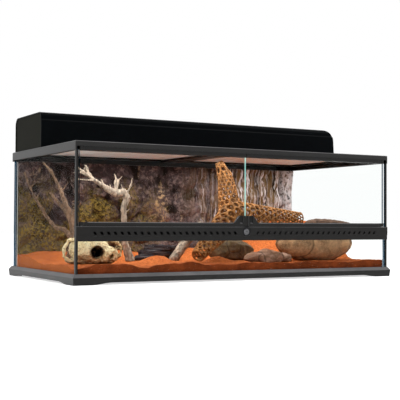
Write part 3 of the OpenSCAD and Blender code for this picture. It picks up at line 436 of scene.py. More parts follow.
def grain(tree, vector, scale):
    """Fine grain: a height for bump, and a tone that varies from 0 to 1."""
    g = group("Grain", [("Vector", "Vector", None), ("Scale", "Float", 1000.0)],
              [("Height", "Float"), ("Tone", "Float")], build_grain)
    n = put(tree, "ShaderNodeGroup", {"node_tree": g}, Vector=vector, Scale=scale)
    return n.outputs["Height"], n.outputs["Tone"]


def material(name, metallic=0.0, coat=0.0, specular=0.5):
    """A new material with its tree, its Principled shader and the object coordinates."""
    m = bpy.data.materials.new(name)
    m.use_nodes = True
    t = m.node_tree
    b = t.nodes["Principled BSDF"]
    b.inputs["Metallic"].default_value = metallic
    b.inputs["Coat Weight"].default_value = coat
    b.inputs["Specular IOR Level"].default_value = specular
    return m, t, b, t.nodes.new("ShaderNodeTexCoord").outputs["Object"]


def bump(tree, shader, height, strength, distance):
    n = put(tree, "ShaderNodeBump", Strength=strength, Distance=distance, Height=height)
    tree.links.new(n.outputs["Normal"], shader.inputs["Normal"])


def own_normal(tree):
    """The normal in the piece's own space, so that a pattern stays put when its body moves."""
    return place(tree, tree.nodes.new("ShaderNodeTexCoord").outputs["Normal"])


def facing(tree, axis, low, high):
    """0 to 1 as the surface's normal along axis goes from low to high."""
    return span(tree, own_normal(tree)[axis], low, high)


def place(tree, vector):
    return put(tree, "ShaderNodeSeparateXYZ", Vector=vector).outputs


def moulded(name, base, roughness=0.36, lift=1.5, specular=0.21, inside=None, bevel_highlight=0.0):
    """Moulded plastic: fine grain, an uneven sheen and a little dust on top. The bevel share paints
    a highlight on its upward bevels. Inside is a depth along Y: behind it the plastic is painted shade."""
    m, t, b, at = material(name, specular=specular)
    height, tone = grain(t, at, 2200.0)
    patches, _ = mottle(t, at, 14.0, 0.35, 0.7)
    dusty = times(t, facing(t, "Z", 0.5, 1.0), patches)
    shade = mix(t, patches, base, scaled(base, lift))
    shade = mix(t, times(t, dusty, 0.06), shade, DUST)
    if bevel_highlight:
        # Painted highlight: upward bevels made paler, in patches
        rim = times(t, facing(t, "Z", 0.18, 0.34), facing(t, "Z", 0.97, 0.88))
        rim = times(t, rim, span(t, patches, 0, 1, bevel_highlight * 0.55, bevel_highlight))
        shade = mix(t, rim, shade, BEVEL_HIGHLIGHT)
    if inside is not None:
        # Painted shade: behind the face the plastic is made black
        shade = mix(t, span(t, place(t, at)[1], inside, inside + 0.0008), shade, UNLIT)
    t.links.new(shade, b.inputs["Base Color"])
    t.links.new(span(t, tone, 0.2, 0.8, roughness - 0.06, roughness + 0.08), b.inputs["Roughness"])
    bump(t, b, height, 0.12, 0.0002)
    return m


def metal(name, base, roughness=0.3, stretch=(900.0, 900.0, 20.0)):
    """Drawn or brushed metal."""
    m, t, b, at = material(name, metallic=1.0)
    lines, height = streaks(t, at, stretch, 0.3, 0.7)
    t.links.new(mix(t, lines, base, scaled(base, 1.25)), b.inputs["Base Color"])
    t.links.new(span(t, height, 0.2, 0.8, roughness - 0.08, roughness + 0.1), b.inputs["Roughness"])
    bump(t, b, height, 0.08, 0.0001)
    return m


def pane(name, axis, split=False):
    """Float glass whose large faces look along axis, with dark cut edges.
    With split, the right door's polished edge beside the left door glows by emission: a painted
    highlight."""
    c = colours()
    m, t, b, at = material(name)
    along = maths(t, "ABSOLUTE", own_normal(t)[axis])
    edge = span(t, along, 0.5, 0.4)
    b.inputs["Transmission Weight"].default_value = 1.0
    b.inputs["IOR"].default_value = GLASS_IOR
    tint = tuple(c.glass_edge)
    if split:
        across = place(t, at)[0]
        near = span(t, maths(t, "ABSOLUTE", across), 0.02, 0.01)
        bright = times(t, near, span(t, across, -0.0004, 0.0004))
        tint = mix(t, bright, mix(t, near, tint, tuple(c.glass)), tuple(c.door_edge))
        # Painted highlight: the split edge glows by emission
        painted_glow = mix(t, times(t, bright, edge), (0, 0, 0), tuple(c.door_edge))
        b.inputs["Emission Strength"].default_value = PAINTED_EDGE_GLOW
        t.links.new(painted_glow, b.inputs["Emission Color"])
    t.links.new(mix(t, edge, tuple(c.glass), tint), b.inputs["Base Color"])
    t.links.new(times(t, edge, 0.3), b.inputs["Roughness"])
    clear = put(t, "ShaderNodeBsdfTransparent", Color=tuple(c.glass))
    paths = t.nodes.new("ShaderNodeLightPath")
    through = larger(t, paths.outputs["Is Shadow Ray"], paths.outputs["Is Diffuse Ray"])
    both = put(t, "ShaderNodeMixShader", _0=through, _1=b.outputs[0], _2=clear.outputs[0])
    t.links.new(both.outputs[0], t.nodes["Material Output"].inputs["Surface"])
    return m


def sand_finish():
    c = colours()
    m, t, b, at = material("sand grains", specular=0.1)
    where = place(t, at)
    height, tone = grain(t, at, 1300.0)
    patches, broad = mottle(t, at, 26.0, 0.38, 0.62, 0.4)
    clumps, lumpy = mottle(t, at, 170.0, 0.47, 0.60, 0.3)
    deep, bright = tuple(c.sand_deep), tuple(c.sand)
    # Painted shade near the front glass; faces turned up or to the left take the lit colour, the others
    # painted shade
    front_glass_shade = span(t, where[1], *SHADE_NEAR_FRONT_GLASS, 0.05, 0.65)
    lit = mix(t, times(t, patches, 0.45), bright, scaled(deep, 1.8))
    lit = mix(t, front_glass_shade, lit, scaled(deep, 1.5))
    front = mix(t, patches, scaled(deep, 0.75), scaled(deep, 1.5))
    lit_sides = larger(t, facing(t, "Z", 0.2, 0.75), facing(t, "X", -0.3, -0.7))
    base = mix(t, lit_sides, front, lit)
    base = mix(t, times(t, clumps, 0.55), base, scaled(deep, 1.1))
    speckled = mix(t, span(t, tone, 0.52, 0.72, 0.0, 0.75), base, scaled(deep, 0.35))
    t.links.new(speckled, b.inputs["Base Color"])
    b.inputs["Roughness"].default_value = 0.95
    height = plus(t, times(t, height, 0.4), plus(t, broad, lumpy))
    bump(t, b, height, 0.8, 0.003)
    return m


def rock_wall_finish():
    """Purple-grey folds over painted shade in the hollows, painted highlights on faces and ridges, and
    lichen low on the left.
    Towards the right golden rock between pale streaks, then a pale end. The back is plain foam."""
    c = colours()
    m, t, b, at = material("rock background", specular=0.12)
    where = place(t, at)
    dark, mid = tuple(c.rock_shade), tuple(c.rock)
    folds, broad = mottle(t, at, 12.0, 0.44, 0.56, 1.5)
    faces, _ = mottle(t, at, 7.5, 0.52, 0.64, 0.9)
    lit_ridges, line_height = streaks(t, at, (26.0, 14.0, 12.0), 0.44, 0.55)
    chips, small = mottle(t, at, 95.0, 0.46, 0.62, 0.6)
    # Dark folds are painted shade; pale faces, ridges, chips and tan spots are painted highlights
    stone = mix(t, folds, dark, mid)
    stone = mix(t, times(t, faces, 0.8), stone, scaled(mid, 4.2))
    stone = mix(t, times(t, lit_ridges, 0.35), stone, scaled(mid, 1.9))
    stone = mix(t, times(t, chips, times(t, folds, 0.6)), stone, (0.26, 0.18, 0.16))
    tan_highlights, _ = streaks(t, at, (17.0, 9.0, 6.0), 0.56, 0.64)
    stone = mix(t, times(t, tan_highlights, times(t, chips, 0.85)), stone, (0.50, 0.33, 0.17))

    spots, _ = mottle(t, at, 150.0, 0.44, 0.58, 0.8)
    area, _ = mottle(t, at, 8.0, 0.42, 0.55, 0.6)
    low = span(t, where[2], *LICHEN_DOWN)
    left = span(t, where[0], *LICHEN_LEFT)
    grown = times(t, area, times(t, low, left))
    stone = mix(t, times(t, grown, 0.65), stone, scaled(c.moss, 0.20))
    stone = mix(t, times(t, spots, grown), stone, tuple(c.moss))

    lines, _ = streaks(t, at, (190.0, 60.0, 13.0), 0.51, 0.58)
    columns, _ = streaks(t, at, (34.0, 12.0, 2.6), 0.49, 0.55)
    right = span(t, where[0], *STREAKS_RIGHT)
    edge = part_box("rock_background")[1].x
    end = span(t, where[0], *(edge - room for room in PALE_END))
    stone = mix(t, times(t, right, 0.5), stone, (0.040, 0.025, 0.011))
    golden, _ = streaks(t, at, (60.0, 20.0, 7.0), 0.46, 0.56)
    stone = mix(t, times(t, right, times(t, golden, 0.6)), stone, (0.24, 0.140, 0.055))
    washed = times(t, lines, larger(t, larger(t, columns, 0.36), end))
    washed = larger(t, washed, times(t, end, span(t, small, 0.40, 0.52, 0.05, 0.8)))
    stone = mix(t, times(t, washed, span(t, right, 0.1, 1, 0.0, 0.95)), stone, tuple(c.streak))

    beads = put(t, "ShaderNodeTexVoronoi", Vector=at, Scale=260.0)
    bead = span(t, beads.outputs["Distance"], 0.1, 0.7)
    foam = mix(t, bead, (0.085, 0.080, 0.076), (0.045, 0.042, 0.040))
    stone = mix(t, facing(t, "Y", 0.9, 0.98), stone, foam)
    t.links.new(stone, b.inputs["Base Color"])
    t.links.new(span(t, small, 0.3, 0.7, 0.65, 0.95), b.inputs["Roughness"])
    height = plus(t, times(t, small, 0.5), plus(t, line_height, broad))
    bump(t, b, height, 1.0, 0.012)
    return m


def stone_finish(name, base, scale=30.0, crack_scale=14.0, crack_depth=0.5, moss=0.0, bands=None):
    """Weathered stone: broad and fine patches, cracks, and lichen spots where there is any."""
    c = colours()
    m, t, b, at = material(name, specular=0.3)
    soft, broad = mottle(t, at, scale, 0.35, 0.66, 0.5)
    fine, small = mottle(t, at, scale * 9, 0.42, 0.62)
    whole = cracks(t, at, crack_scale, 0.045, 0.03)
    skin = mix(t, soft, scaled(base, 0.55), scaled(base, 1.45))
    skin = mix(t, times(t, fine, 0.4), skin, scaled(base, 1.9))
    if bands:
        lines, _ = streaks(t, at, bands, 0.50, 0.64)
        skin = mix(t, times(t, lines, 0.65), skin, tuple(min(1, x * 2 + 0.12) for x in base))
    if moss:
        spots, _ = mottle(t, at, 90.0, 0.40, 0.60, 0.5)
        skin = mix(t, times(t, spots, moss), skin, tuple(c.moss))
    dark = mix(t, maths(t, "SUBTRACT", 1.0, whole), skin, scaled(base, 0.22))
    t.links.new(mix(t, crack_depth, skin, dark), b.inputs["Base Color"])
    t.links.new(span(t, small, 0.3, 0.7, 0.6, 0.95), b.inputs["Roughness"])
    height = plus(t, times(t, small, 0.35), plus(t, broad, times(t, whole, 0.25)))
    bump(t, b, height, 0.7, 0.004)
    return m


def wood_finish(name, base, stretch, dark=0.35, pale=1.35, speckle=0.3):
    """Weathered wood: grain along the branch, dark checks and small knots."""
    m, t, b, at = material(name, specular=0.25)
    lines, fibres = streaks(t, at, stretch, 0.36, 0.62)
    checks, _ = streaks(t, at, tuple(s * 1.7 for s in stretch), 0.60, 0.68)
    soft, _ = mottle(t, at, 28.0, 0.35, 0.68, 0.4)
    spots, _ = mottle(t, at, 210.0, 0.56, 0.66)
    skin = mix(t, lines, scaled(base, 0.6), scaled(base, pale))
    skin = mix(t, times(t, soft, 0.45), skin, scaled(base, dark * 1.5))
    skin = mix(t, times(t, checks, 0.8), skin, scaled(base, dark * 0.6))
    skin = mix(t, times(t, spots, speckle), skin, scaled(base, dark))
    t.links.new(skin, b.inputs["Base Color"])
    t.links.new(span(t, fibres, 0.3, 0.7, 0.6, 0.9), b.inputs["Roughness"])
    bump(t, b, maths(t, "SUBTRACT", fibres, times(t, checks, 0.4)), 0.7, 0.003)
    return m


def bone_finish(socket):
    """Old bone: cream, stained brown towards the right, with pits; painted shade in the eye socket and
    on the underside.
    """
    c = colours()
    m, t, b, at = material("weathered bone", specular=0.15)
    where = place(t, at)
    soft, broad = mottle(t, at, 40.0, 0.40, 0.60, 0.6)
    pits, small = mottle(t, at, 230.0, 0.54, 0.64)
    patch, wobble = mottle(t, at, 55.0, 0.44, 0.58, 0.8)
    stained = span(t, where[0], *BONE_STAIN, 0.06, 0.75)
    pale = mix(t, soft, tuple(c.bone), (0.93, 0.80, 0.50))
    skin = mix(t, times(t, stained, patch), pale, (0.34, 0.175, 0.050))
    skin = mix(t, times(t, pits, 0.7), skin, (0.12, 0.065, 0.025))
    # Painted shade in the eye socket
    away = [maths(t, "POWER", maths(t, "DIVIDE", maths(t, "SUBTRACT", where[i], socket[i]), r), 2.0)
            for i, r in ((0, 0.0185), (2, 0.0145))]
    socket_shade = plus(t, plus(t, away[0], away[1]), times(t, wobble, 1.7))
    skin = mix(t, span(t, socket_shade, 2.25, 1.6), skin, (0.012, 0.006, 0.003))
    # Painted shade on the underside
    underside_shade = times(t, facing(t, "Z", -0.15, -0.75), 0.8)
    skin = mix(t, underside_shade, skin, (0.16, 0.085, 0.030))
    t.links.new(skin, b.inputs["Base Color"])
    t.links.new(span(t, small, 0.3, 0.7, 0.5, 0.8), b.inputs["Roughness"])
    bump(t, b, plus(t, broad, times(t, small, 0.5)), 0.9, 0.004)
    return m


# ---- Tank and hood ----


class TERRARIUM_OT_plastic(Operator):
    """Finish the moulded black parts"""

    bl_idname = "terrarium.plastic"
    bl_label = "Moulded parts"

    def execute(self, context):
        base = tuple(colours().plastic)
        black = moulded("black plastic", base, bevel_highlight=0.75)
        for name in BLACK_PARTS:
            finish_node(name, black)
        upper = moulded("upper frame plastic", base, 0.33, specular=0.34, bevel_highlight=0.75)
        finish_node("top_frame", upper)
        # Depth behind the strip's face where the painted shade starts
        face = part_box("vent_strip")[0].y + 0.0014
        strip = moulded("vent strip plastic", scaled(base, 1.4), lift=1.2, specular=0.18, inside=face,
                        bevel_highlight=0.5)
        finish_node("vent_strip", strip)
        seal, t, b, at = material("black sealant", specular=0.5)
        _, wavy = mottle(t, at, 90.0)
        b.inputs["Base Color"].default_value = (0.012, 0.012, 0.013, 1)
        t.links.new(span(t, wavy, 0.3, 0.7, 0.25, 0.45), b.inputs["Roughness"])
        bump(t, b, wavy, 0.3, 0.001)
        finish_node("corner_seals", seal)
        return {"FINISHED"}


class TERRARIUM_OT_panes(Operator):
    """Finish the glass panes"""

    bl_idname = "terrarium.panes"
    bl_label = "Panes"

    def execute(self, context):
        names = ("side glass", "front glass", "floor glass")
        kinds = {axis: pane(name, axis) for axis, name in enumerate(names)}
        doors = pane("door glass", 1, split=True)
        for name, axis in PANES.items():
            finish_node(name, doors if "door" in name else kinds[axis])
        return {"FINISHED"}


class TERRARIUM_OT_lock(Operator):
    """Finish the lock and the hinge pins"""

    bl_idname = "terrarium.lock"
    bl_label = "Lock and pins"

    def execute(self, context):
        bright = metal("plated metal", (0.11, 0.11, 0.115), 0.30, (400.0, 400.0, 400.0))
        steel = metal("plain steel", (0.42, 0.42, 0.43), 0.35)
        collar = moulded("lock collar", (0.004, 0.004, 0.005), 0.3)
        for name in ("lock_barrel", "lock_cam"):
            finish_node(name, bright)
        for name in ("left_door_pins", "right_door_pins"):
            finish_node(name, steel)
        finish_node("lock_collar", collar)
        return {"FINISHED"}


class TERRARIUM_OT_screen(Operator):
    """Weave the screen cover's mesh panels"""

    bl_idname = "terrarium.screen"
    bl_label = "Screen mesh"

    def execute(self, context):
        wire = moulded("screen wire", tuple(colours().wire), 0.5, 1.2, 0.3)
        for side in ("left", "right"):
            node = side + "_screen_mesh"
            weave = self.woven_panel(node, side + "_wire_mesh")
            put_on(weave, "cover", wire, (node,))
        return {"FINISHED"}

    def woven_panel(self, node, name):
        low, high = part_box(node)
        mid = (low + high) / 2
        r = sizes().wire_radius
        sets = []
        for along, across, up in ((0, 1, r * 0.66), (1, 0, -r * 0.66)):
            run = high[along] - low[along]
            room = high[across] - low[across] - 2 * r
            count = int(room / sizes().wire_pitch) + 1
            pitch = room / (count - 1)
            spin = (0, math.radians(90), 0) if along == 0 else (math.radians(90), 0, 0)
            bpy.ops.mesh.primitive_cylinder_add(vertices=5, radius=r, depth=run, rotation=spin,
                                                end_fill_type="TRIFAN")
            wire = bpy.context.object
            start = Vector(mid)
            start[across] = low[across] + r
            start.z = mid.z + up
            wire.location = start
            apply_place(wire)
            step = [0.0, 0.0, 0.0]
            step[across] = pitch
            add_modifier(wire, "ARRAY", count=count, use_relative_offset=False,
                         use_constant_offset=True, constant_offset_displace=step)
            sets.append(wire)
        pick(sets[0])
        sets[1].select_set(True)
        bpy.ops.object.join()
        sets[0].name = sets[0].data.name = name
        return sets[0]


class TERRARIUM_OT_hood(Operator):
    """Finish the light hood and what it holds"""

    bl_idname = "terrarium.hood"
    bl_label = "Light hood"

    def execute(self, context):
        c = colours()
        housing = moulded("hood plastic", tuple(c.hood), 0.34, lift=1.3, specular=0.025)
        plate = moulded("end plate", tuple(c.end_plate), 0.6, lift=1.2, specular=0.03)
        sheet = metal("reflector sheet", (0.78, 0.78, 0.79), 0.22, (12.0, 600.0, 600.0))
        finish_node("hood_housing", housing)
        finish_node("hood_end_plate", plate)
        finish_node("hood_reflector", sheet)
        finish_node("terminal_box", moulded("terminal box", (0.06, 0.06, 0.065), 0.5))
        gloss = moulded("glossy black", (0.010, 0.010, 0.011), 0.22)
        for name in ("cable_gland", "switch_bezel", "switch_rocker"):
            finish_node(name, gloss)
        glaze, t, b, at = material("socket ceramic")
        soft, small = mottle(t, at, 120.0)
        t.links.new(mix(t, soft, (0.74, 0.70, 0.62), (0.82, 0.79, 0.72)), b.inputs["Base Color"])
        t.links.new(span(t, small, 0.3, 0.7, 0.35, 0.5), b.inputs["Roughness"])
        for k in (1, 2, 3, 4):
            finish_node(f"lamp_socket_{k}", glaze)
        return {"FINISHED"}


# ---- Habitat ----


def face_sheet(o, outward, cuts, smooth):
    """Keeps only the faces of o that look outward, and refines them."""
    outward = Vector(outward)
    pick(o)
    bpy.ops.object.mode_set(mode="EDIT")
    bpy.ops.mesh.select_mode(type="FACE")
    bpy.ops.mesh.select_all(action="DESELECT")
    bm = bmesh.from_edit_mesh(o.data)
    for f in bm.faces:
        f.select_set(f.normal.dot(outward) <= 0.15)
    bmesh.update_edit_mesh(o.data)
    bpy.ops.mesh.delete(type="FACE")
    bpy.ops.mesh.select_all(action="SELECT")
    bpy.ops.mesh.delete_loose(use_verts=True, use_edges=True, use_faces=False)
    bpy.ops.mesh.select_all(action="SELECT")
    bpy.ops.mesh.subdivide(number_cuts=cuts)
    bpy.ops.mesh.select_mode(type="VERT")
    bpy.ops.mesh.select_all(action="DESELECT")
    bm = bmesh.from_edit_mesh(o.data)
    for v in bm.verts:
        v.select_set(not v.is_boundary)
    bmesh.update_edit_mesh(o.data)
    bpy.ops.mesh.vertices_smooth(factor=0.5, repeat=smooth)
    bpy.ops.object.mode_set(mode="OBJECT")


def close_sheet(o, axis, level):
    """Extrudes the sheet's edge straight back to that level along axis, and closes it there."""
    pick(o)
    bpy.ops.object.mode_set(mode="EDIT")
    bpy.ops.mesh.select_mode(type="EDGE")
    bpy.ops.mesh.select_all(action="DESELECT")
    bm = bmesh.from_edit_mesh(o.data)
    for e in bm.edges:
        e.select_set(e.is_boundary)
    bmesh.update_edit_mesh(o.data)
    bpy.ops.mesh.extrude_edges_move()
    bm = bmesh.from_edit_mesh(o.data)
    for v in bm.verts:
        if v.select:
            v.co[axis] = level
    bmesh.update_edit_mesh(o.data)
    bpy.ops.mesh.edge_face_add()
    bpy.ops.mesh.select_all(action="SELECT")
    bpy.ops.mesh.normals_make_consistent(inside=False)
    bpy.ops.object.mode_set(mode="OBJECT")


class TERRARIUM_OT_background(Operator):
    """Work the rock background into crags and folds"""

    bl_idname = "terrarium.background"
    bl_label = "Rock background"

    def execute(self, context):
        wall = copy_of("rock_background", "rock_wall")
        face_sheet(wall, (0, -1, 0), 6, 8)
        crag = sizes().crag
        roughen(wall, "folds", 0.055, crag * 1.6, "MUSGRAVE", direction="Y",
                musgrave_type="RIDGED_MULTIFRACTAL", octaves=4)
        roughen(wall, "chips", 0.018, crag * 0.9, "VORONOI", direction="Y", distance_metric="DISTANCE")
        roughen(wall, "pits", 0.007, crag * 0.35, direction="Y")
        self.hold_in(wall)
        close_sheet(wall, 1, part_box("rock_background")[1].y)
        put_on(wall, "tank", rock_wall_finish(), ("rock_background",))
        return {"FINISHED"}

    def hold_in(self, wall):
        """Keeps the panel's face inside its solid's sides and inside WALL_ROOM."""
        low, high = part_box("rock_background")
        for v in wall.data.vertices:
            v.co.y = max(low.y - WALL_ROOM[0], min(high.y - WALL_ROOM[1], v.co.y))
            v.co.x = max(low.x, min(high.x, v.co.x))
            v.co.z = max(low.z, min(high.z, v.co.z))


class TERRARIUM_OT_sand(Operator):
    """Give the sand bed its ripples"""

    bl_idname = "terrarium.sand"
    bl_label = "Sand"

    def execute(self, context):
        sand = copy_of("sand_bed", "sand")
        face_sheet(sand, (0, 0, 1), 4, 6)
        roughen(sand, "waves", 0.045, sizes().ripple * 2, direction="Z")
        roughen(sand, "ripples", 0.012, sizes().ripple, direction="Z")
        close_sheet(sand, 2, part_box("sand_bed")[0].z)
        put_on(sand, "tank", sand_finish(), ("sand_bed",))
        return {"FINISHED"}


class TERRARIUM_OT_skull(Operator):
    """Model the weathered skull"""

    bl_idname = "terrarium.skull"
    bl_label = "Skull"

    def execute(self, context):
        skull = copy_of("animal_skull", "skull")
        remesh(skull, 0.0014, 2)
        roughen(skull, "bone dents", 0.020, 0.0075)
        roughen(skull, "bone chips", 0.006, 0.0020, "VORONOI")
        low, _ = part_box("animal_skull")
        eye = (low.x + 0.080, 0.0, low.z + 0.029)
        put_on(skull, "tank", bone_finish(eye), ("animal_skull",))
        return {"FINISHED"}


class TERRARIUM_OT_driftwood(Operator):
    """Model the driftwood, the log and the bark"""

    bl_idname = "terrarium.driftwood"
    bl_label = "Driftwood"

    def execute(self, context):
        c = colours()
        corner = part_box("sand_bed")[0].x
        pale = wood_finish("bleached wood", tuple(c.pale_wood), (190.0, 190.0, 30.0), 0.25, 1.7, 0.45)
        dark = wood_finish("thin branch bark", tuple(c.dark_wood), (170.0, 170.0, 40.0), 0.4, 1.9)
        logs = wood_finish("leaning log", tuple(c.pale_wood), (110.0, 150.0, 70.0), 0.2, 1.7, 0.9)
        bark = wood_finish("bark strip", tuple(c.bark), (22.0, 190.0, 190.0), 0.4, 2.0)
        for node, name, voxel, slot, finish in (
                ("pale_driftwood", "bleached_branch", 0.0017, "pale_wood", pale),
                ("dark_driftwood", "thin_branches", 0.0014, "dark_wood", dark),
                ("leaning_log", "log", 0.0022, "pale_wood", logs),
                ("bark_slab", "bark_strip", 0.0022, "bark", bark)):
            o = copy_of(node, name)
            for start, end, r in TWIGS.get(node, ()):
                self.grow_twig(o, corner, start, end, r)
            if node == "bark_slab":
                self.curl_up(o, *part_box(node))
            remesh(o, voxel, 3)
            roughen(o, name + " knots", 0.016, 0.0050)
            roughen(o, name + " ridges", 0.006, 0.0026)
            put_on(o, "tank", finish, (node,))
        return {"FINISHED"}

    def grow_twig(self, wood, corner, start, end, r):
        """Sets a thin tapering twig into a branch; the remesh joins the two."""
        start, end = (Vector((corner + x / 1000, y / 1000, (SAND_LEVEL_MM + z) / 1000))
                      for x, y, z in (start, end))
        run = end - start
        bpy.ops.mesh.primitive_cone_add(vertices=7, radius1=r, radius2=r * 0.5, depth=run.length,
                                        location=(start + end) / 2,
                                        rotation=run.to_track_quat("Z", "Y").to_euler())
        twig = bpy.context.object
        apply_place(twig)
        pick(wood)
        twig.select_set(True)
        bpy.ops.object.join()

    def curl_up(self, bark, low, high):
        """Lifts the bark strip's top towards its left end."""
        for v in bark.data.vertices:
            share = (high.x - v.co.x) / (high.x - low.x)
            v.co.z = low.z + (v.co.z - low.z) * (1.05 + 0.9 * share)


class TERRARIUM_OT_cactus(Operator):
    """Model the netted cactus skeleton"""

    bl_idname = "terrarium.cactus"
    bl_label = "Cactus skeleton"

    def execute(self, context):
        s = sizes()
        finish = wood_finish("cactus skeleton", tuple(colours().cactus), (60.0, 60.0, 60.0),
                             dark=0.30, pale=1.5, speckle=0.35)
        lying, *arms = [self.net_arm(*arm, s.net_round - fewer, s.net_strand * share)
                        for *arm, fewer, share in NET_ARMS]
        pick(arms[0])
        for arm in arms[1:]:
            arm.select_set(True)
        bpy.ops.object.join()
        put_on(arms[0], "tank", finish, ("cactus_wood",))
        put_on(lying, "tank", finish)
        return {"FINISHED"}

    def net_arm(self, name, start, end, r_start, r_end, cells, strand):
        """A tube of staggered six-sided holes that shrink as it tapers."""
        s = sizes()
        start, end = Vector(start), Vector(end)
        run = (end - start).length
        columns = 2 * cells
        rows = max(3, round(run / (s.net_cell * 0.75)))
        ratio = r_end / r_start
        bpy.ops.mesh.primitive_cylinder_add(vertices=columns, radius=1.0, depth=1.0,
                                            location=(0, 0, 0.5), end_fill_type="NOTHING")
        arm = bpy.context.object
        arm.name = name
        apply_place(arm)
        bpy.ops.object.mode_set(mode="EDIT")
        bpy.ops.mesh.select_mode(type="EDGE")
        bm = bmesh.from_edit_mesh(arm.data)
        for e in bm.edges:
            e.select_set(abs(e.verts[0].co.z - e.verts[1].co.z) > 0.5)
        bmesh.update_edit_mesh(arm.data)
        bpy.ops.mesh.subdivide(number_cuts=rows - 1)
        bpy.ops.mesh.select_all(action="DESELECT")
        bm = bmesh.from_edit_mesh(arm.data)

        def cell(v):
            turn = math.atan2(v.co.y, v.co.x) / math.tau * columns
            return round(turn) % columns, round(v.co.z * rows)

        for e in bm.edges:
            (i, j), (_, n) = cell(e.verts[0]), cell(e.verts[1])
            e.select_set(j != n and (i + min(j, n)) % 2 == 1)
        bmesh.update_edit_mesh(arm.data)
        bpy.ops.mesh.dissolve_edges(use_verts=False)
        bm = bmesh.from_edit_mesh(arm.data)
        turn = Vector((0, 0, 1)).rotation_difference((end - start).normalized()).to_matrix()
        for v in bm.verts:
            i, j = cell(v)
            rise = 0.0 if j in (0, rows) else (0.16 if (i + j) % 2 == 0 else -0.16)
            share = (1 - ratio ** ((j + rise) / rows)) / (1 - ratio)
            z = share * run
            wander = noise.noise_vector(Vector((i * 3.1, j * 2.3, r_start * 400)))
            r = (r_start + (r_end - r_start) * share - strand * 0.5) * (1 + 0.05 * wander.x)
            angle = math.tau * (i + 0.35 * wander.y) / columns
            p = Vector((r * math.cos(angle), r * math.sin(angle), z + 0.003 * wander.z))
            v.co = start + turn @ p
        bmesh.update_edit_mesh(arm.data)
        bpy.ops.object.mode_set(mode="OBJECT")
        add_modifier(arm, "WIREFRAME", thickness=strand, use_replace=True, use_boundary=True,
                     use_even_offset=False)
        add_modifier(arm, "SUBSURF", levels=1, render_levels=1)
        return arm


class TERRARIUM_OT_stones(Operator):
    """Model the stones"""

    bl_idname = "terrarium.stones"
    bl_label = "Stones"

    def execute(self, context):
        c = colours()
        tan = stone_finish("tan stone", tuple(c.boulder), 18.0, 9.0, 0.75)
        reddish = stone_finish("reddish stone", tuple(c.red_stone), 34.0, 16.0, 0.7,
                               bands=(22.0, 30.0, 60.0))
        mossy = stone_finish("mossy stone", tuple(c.dark_rock), 26.0, 14.0, 0.6, moss=0.28)
        slate = stone_finish("slate", tuple(c.slate), 40.0, 20.0, 0.4, bands=(24.0, 24.0, 330.0))
        for node, name, voxel, slot, finish, knock, facets in (
                ("boulder", "tan_boulder", 0.0030, "tan_stone", tan, 0.008, 0.25),
                ("flat_stone", "flat_rock", 0.0022, "red_stone", reddish, 0.010, 0.9),
                ("dark_rock", "mossy_rock", 0.0025, "dark_stone", mossy, 0.010, 0.7),
                ("layered_rock", "slate_rock", 0.0022, "slate", slate, 0.004, 0.5)):
            o = copy_of(node, name)
            remesh(o, voxel, 3)
            roughen(o, name + " lumps", 0.045, knock)
            roughen(o, name + " facets", 0.022, knock * facets, "VORONOI")
            roughen(o, name + " pits", 0.006, knock * 0.12)
            put_on(o, "tank", finish, (node,))
        return {"FINISHED"}


# ---- Stage ----


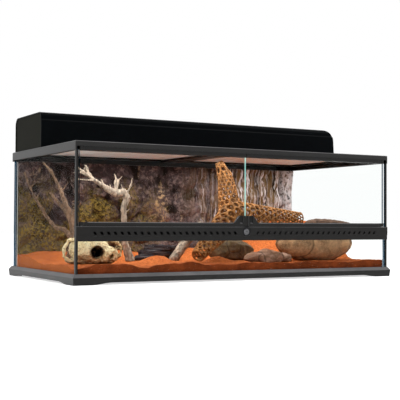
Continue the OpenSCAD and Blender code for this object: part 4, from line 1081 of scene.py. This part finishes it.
class TERRARIUM_OT_stage(Operator):
    """Set up the floor, the light and the camera"""

    bl_idname = "terrarium.stage"
    bl_label = "Stage"

    def execute(self, context):
        scene = context.scene
        scene.view_settings.view_transform = "Standard"
        bpy.ops.mesh.primitive_plane_add(size=16)
        floor = bpy.context.object
        floor.name = "floor"
        floor.data.materials.append(self.pale_floor())
        self.pale_world(scene)
        for lamp in LAMPS:
            self.area(*lamp)
        hidden = self.area(*TANK_LAMP)
        for ray in ("visible_camera", "visible_glossy", "visible_transmission"):
            setattr(hidden, ray, False)
        data = bpy.data.cameras.new("camera")
        data.lens, data.sensor_width, data.clip_start = CAMERA_LENS, 36.0, 0.05
        camera = bpy.data.objects.new("camera", data)
        scene.collection.objects.link(camera)
        turn = Matrix.Rotation(CAMERA_TURN, 4, "Z")
        lift = Matrix.Rotation(math.pi / 2 + CAMERA_PITCH, 4, "X")
        roll = Matrix.Rotation(CAMERA_ROLL, 4, "Z")
        camera.matrix_world = Matrix.Translation(CAMERA_AT) @ turn @ lift @ roll
        scene.camera = camera
        return {"FINISHED"}

    def seen_directly(self, tree):
        """1 for what the camera sees itself, in metal or through glass."""
        paths = tree.nodes.new("ShaderNodeLightPath").outputs
        return larger(tree, paths["Is Camera Ray"],
                      larger(tree, paths["Is Glossy Ray"], paths["Is Transmission Ray"]))

    def pale_floor(self):
        m, t, b, _ = material("pale floor", specular=0.1)
        b.inputs["Base Color"].default_value = (0.86, 0.86, 0.86, 1)
        b.inputs["Roughness"].default_value = 0.9
        b.inputs["Emission Color"].default_value = (1, 1, 1, 1)
        t.links.new(times(t, self.seen_directly(t), FLOOR_GLOW), b.inputs["Emission Strength"])
        return m

    def pale_world(self, scene):
        world = bpy.data.worlds.new("studio")
        scene.world = world
        world.use_nodes = True
        t = world.node_tree
        t.nodes["Background"].inputs["Color"].default_value = (1, 1, 1, 1)
        strength = span(t, self.seen_directly(t), 0, 1, WORLD_LIGHT, WORLD_SEEN)
        t.links.new(strength, t.nodes["Background"].inputs["Strength"])

    def area(self, name, at, aim, size, power, size_y):
        data = bpy.data.lights.new(name, "AREA")
        data.energy, data.size = power, size
        if size_y:
            data.shape, data.size_y = "RECTANGLE", size_y
        o = bpy.data.objects.new(name, data)
        bpy.context.scene.collection.objects.link(o)
        o.location = at
        o.rotation_euler = (Vector(aim) - Vector(at)).to_track_quat("-Z", "Y").to_euler()
        return o


STEPS = (TERRARIUM_OT_plastic, TERRARIUM_OT_panes, TERRARIUM_OT_lock, TERRARIUM_OT_screen,
         TERRARIUM_OT_hood, TERRARIUM_OT_background, TERRARIUM_OT_sand, TERRARIUM_OT_skull,
         TERRARIUM_OT_driftwood, TERRARIUM_OT_cactus, TERRARIUM_OT_stones, TERRARIUM_OT_stage)


class TERRARIUM_PT_panel(Panel):
    """Colours, sizes and steps"""

    bl_label = "Terrarium"
    bl_space_type = "VIEW_3D"
    bl_region_type = "UI"
    bl_category = "Terrarium"

    def draw(self, context):
        for step in STEPS:
            self.layout.operator(step.bl_idname)
        for settings in (context.scene.terrarium_sizes, context.scene.terrarium_colours):
            box = self.layout.box()
            for key in settings.bl_rna.properties.keys():
                if key not in ("rna_type", "name"):
                    box.prop(settings, key)


CLASSES = (TerrariumColours, TerrariumSizes, *STEPS, TERRARIUM_PT_panel)


def register():
    for cls in CLASSES:
        bpy.utils.register_class(cls)
    bpy.types.Scene.terrarium_colours = PointerProperty(type=TerrariumColours)
    bpy.types.Scene.terrarium_sizes = PointerProperty(type=TerrariumSizes)


def unregister():
    del bpy.types.Scene.terrarium_sizes
    del bpy.types.Scene.terrarium_colours
    for cls in reversed(CLASSES):
        bpy.utils.unregister_class(cls)


def main():
    register()
    for step in STEPS:
        section, name = step.bl_idname.split(".")
        getattr(getattr(bpy.ops, section), name)()


if __name__ == "__main__":
    main()
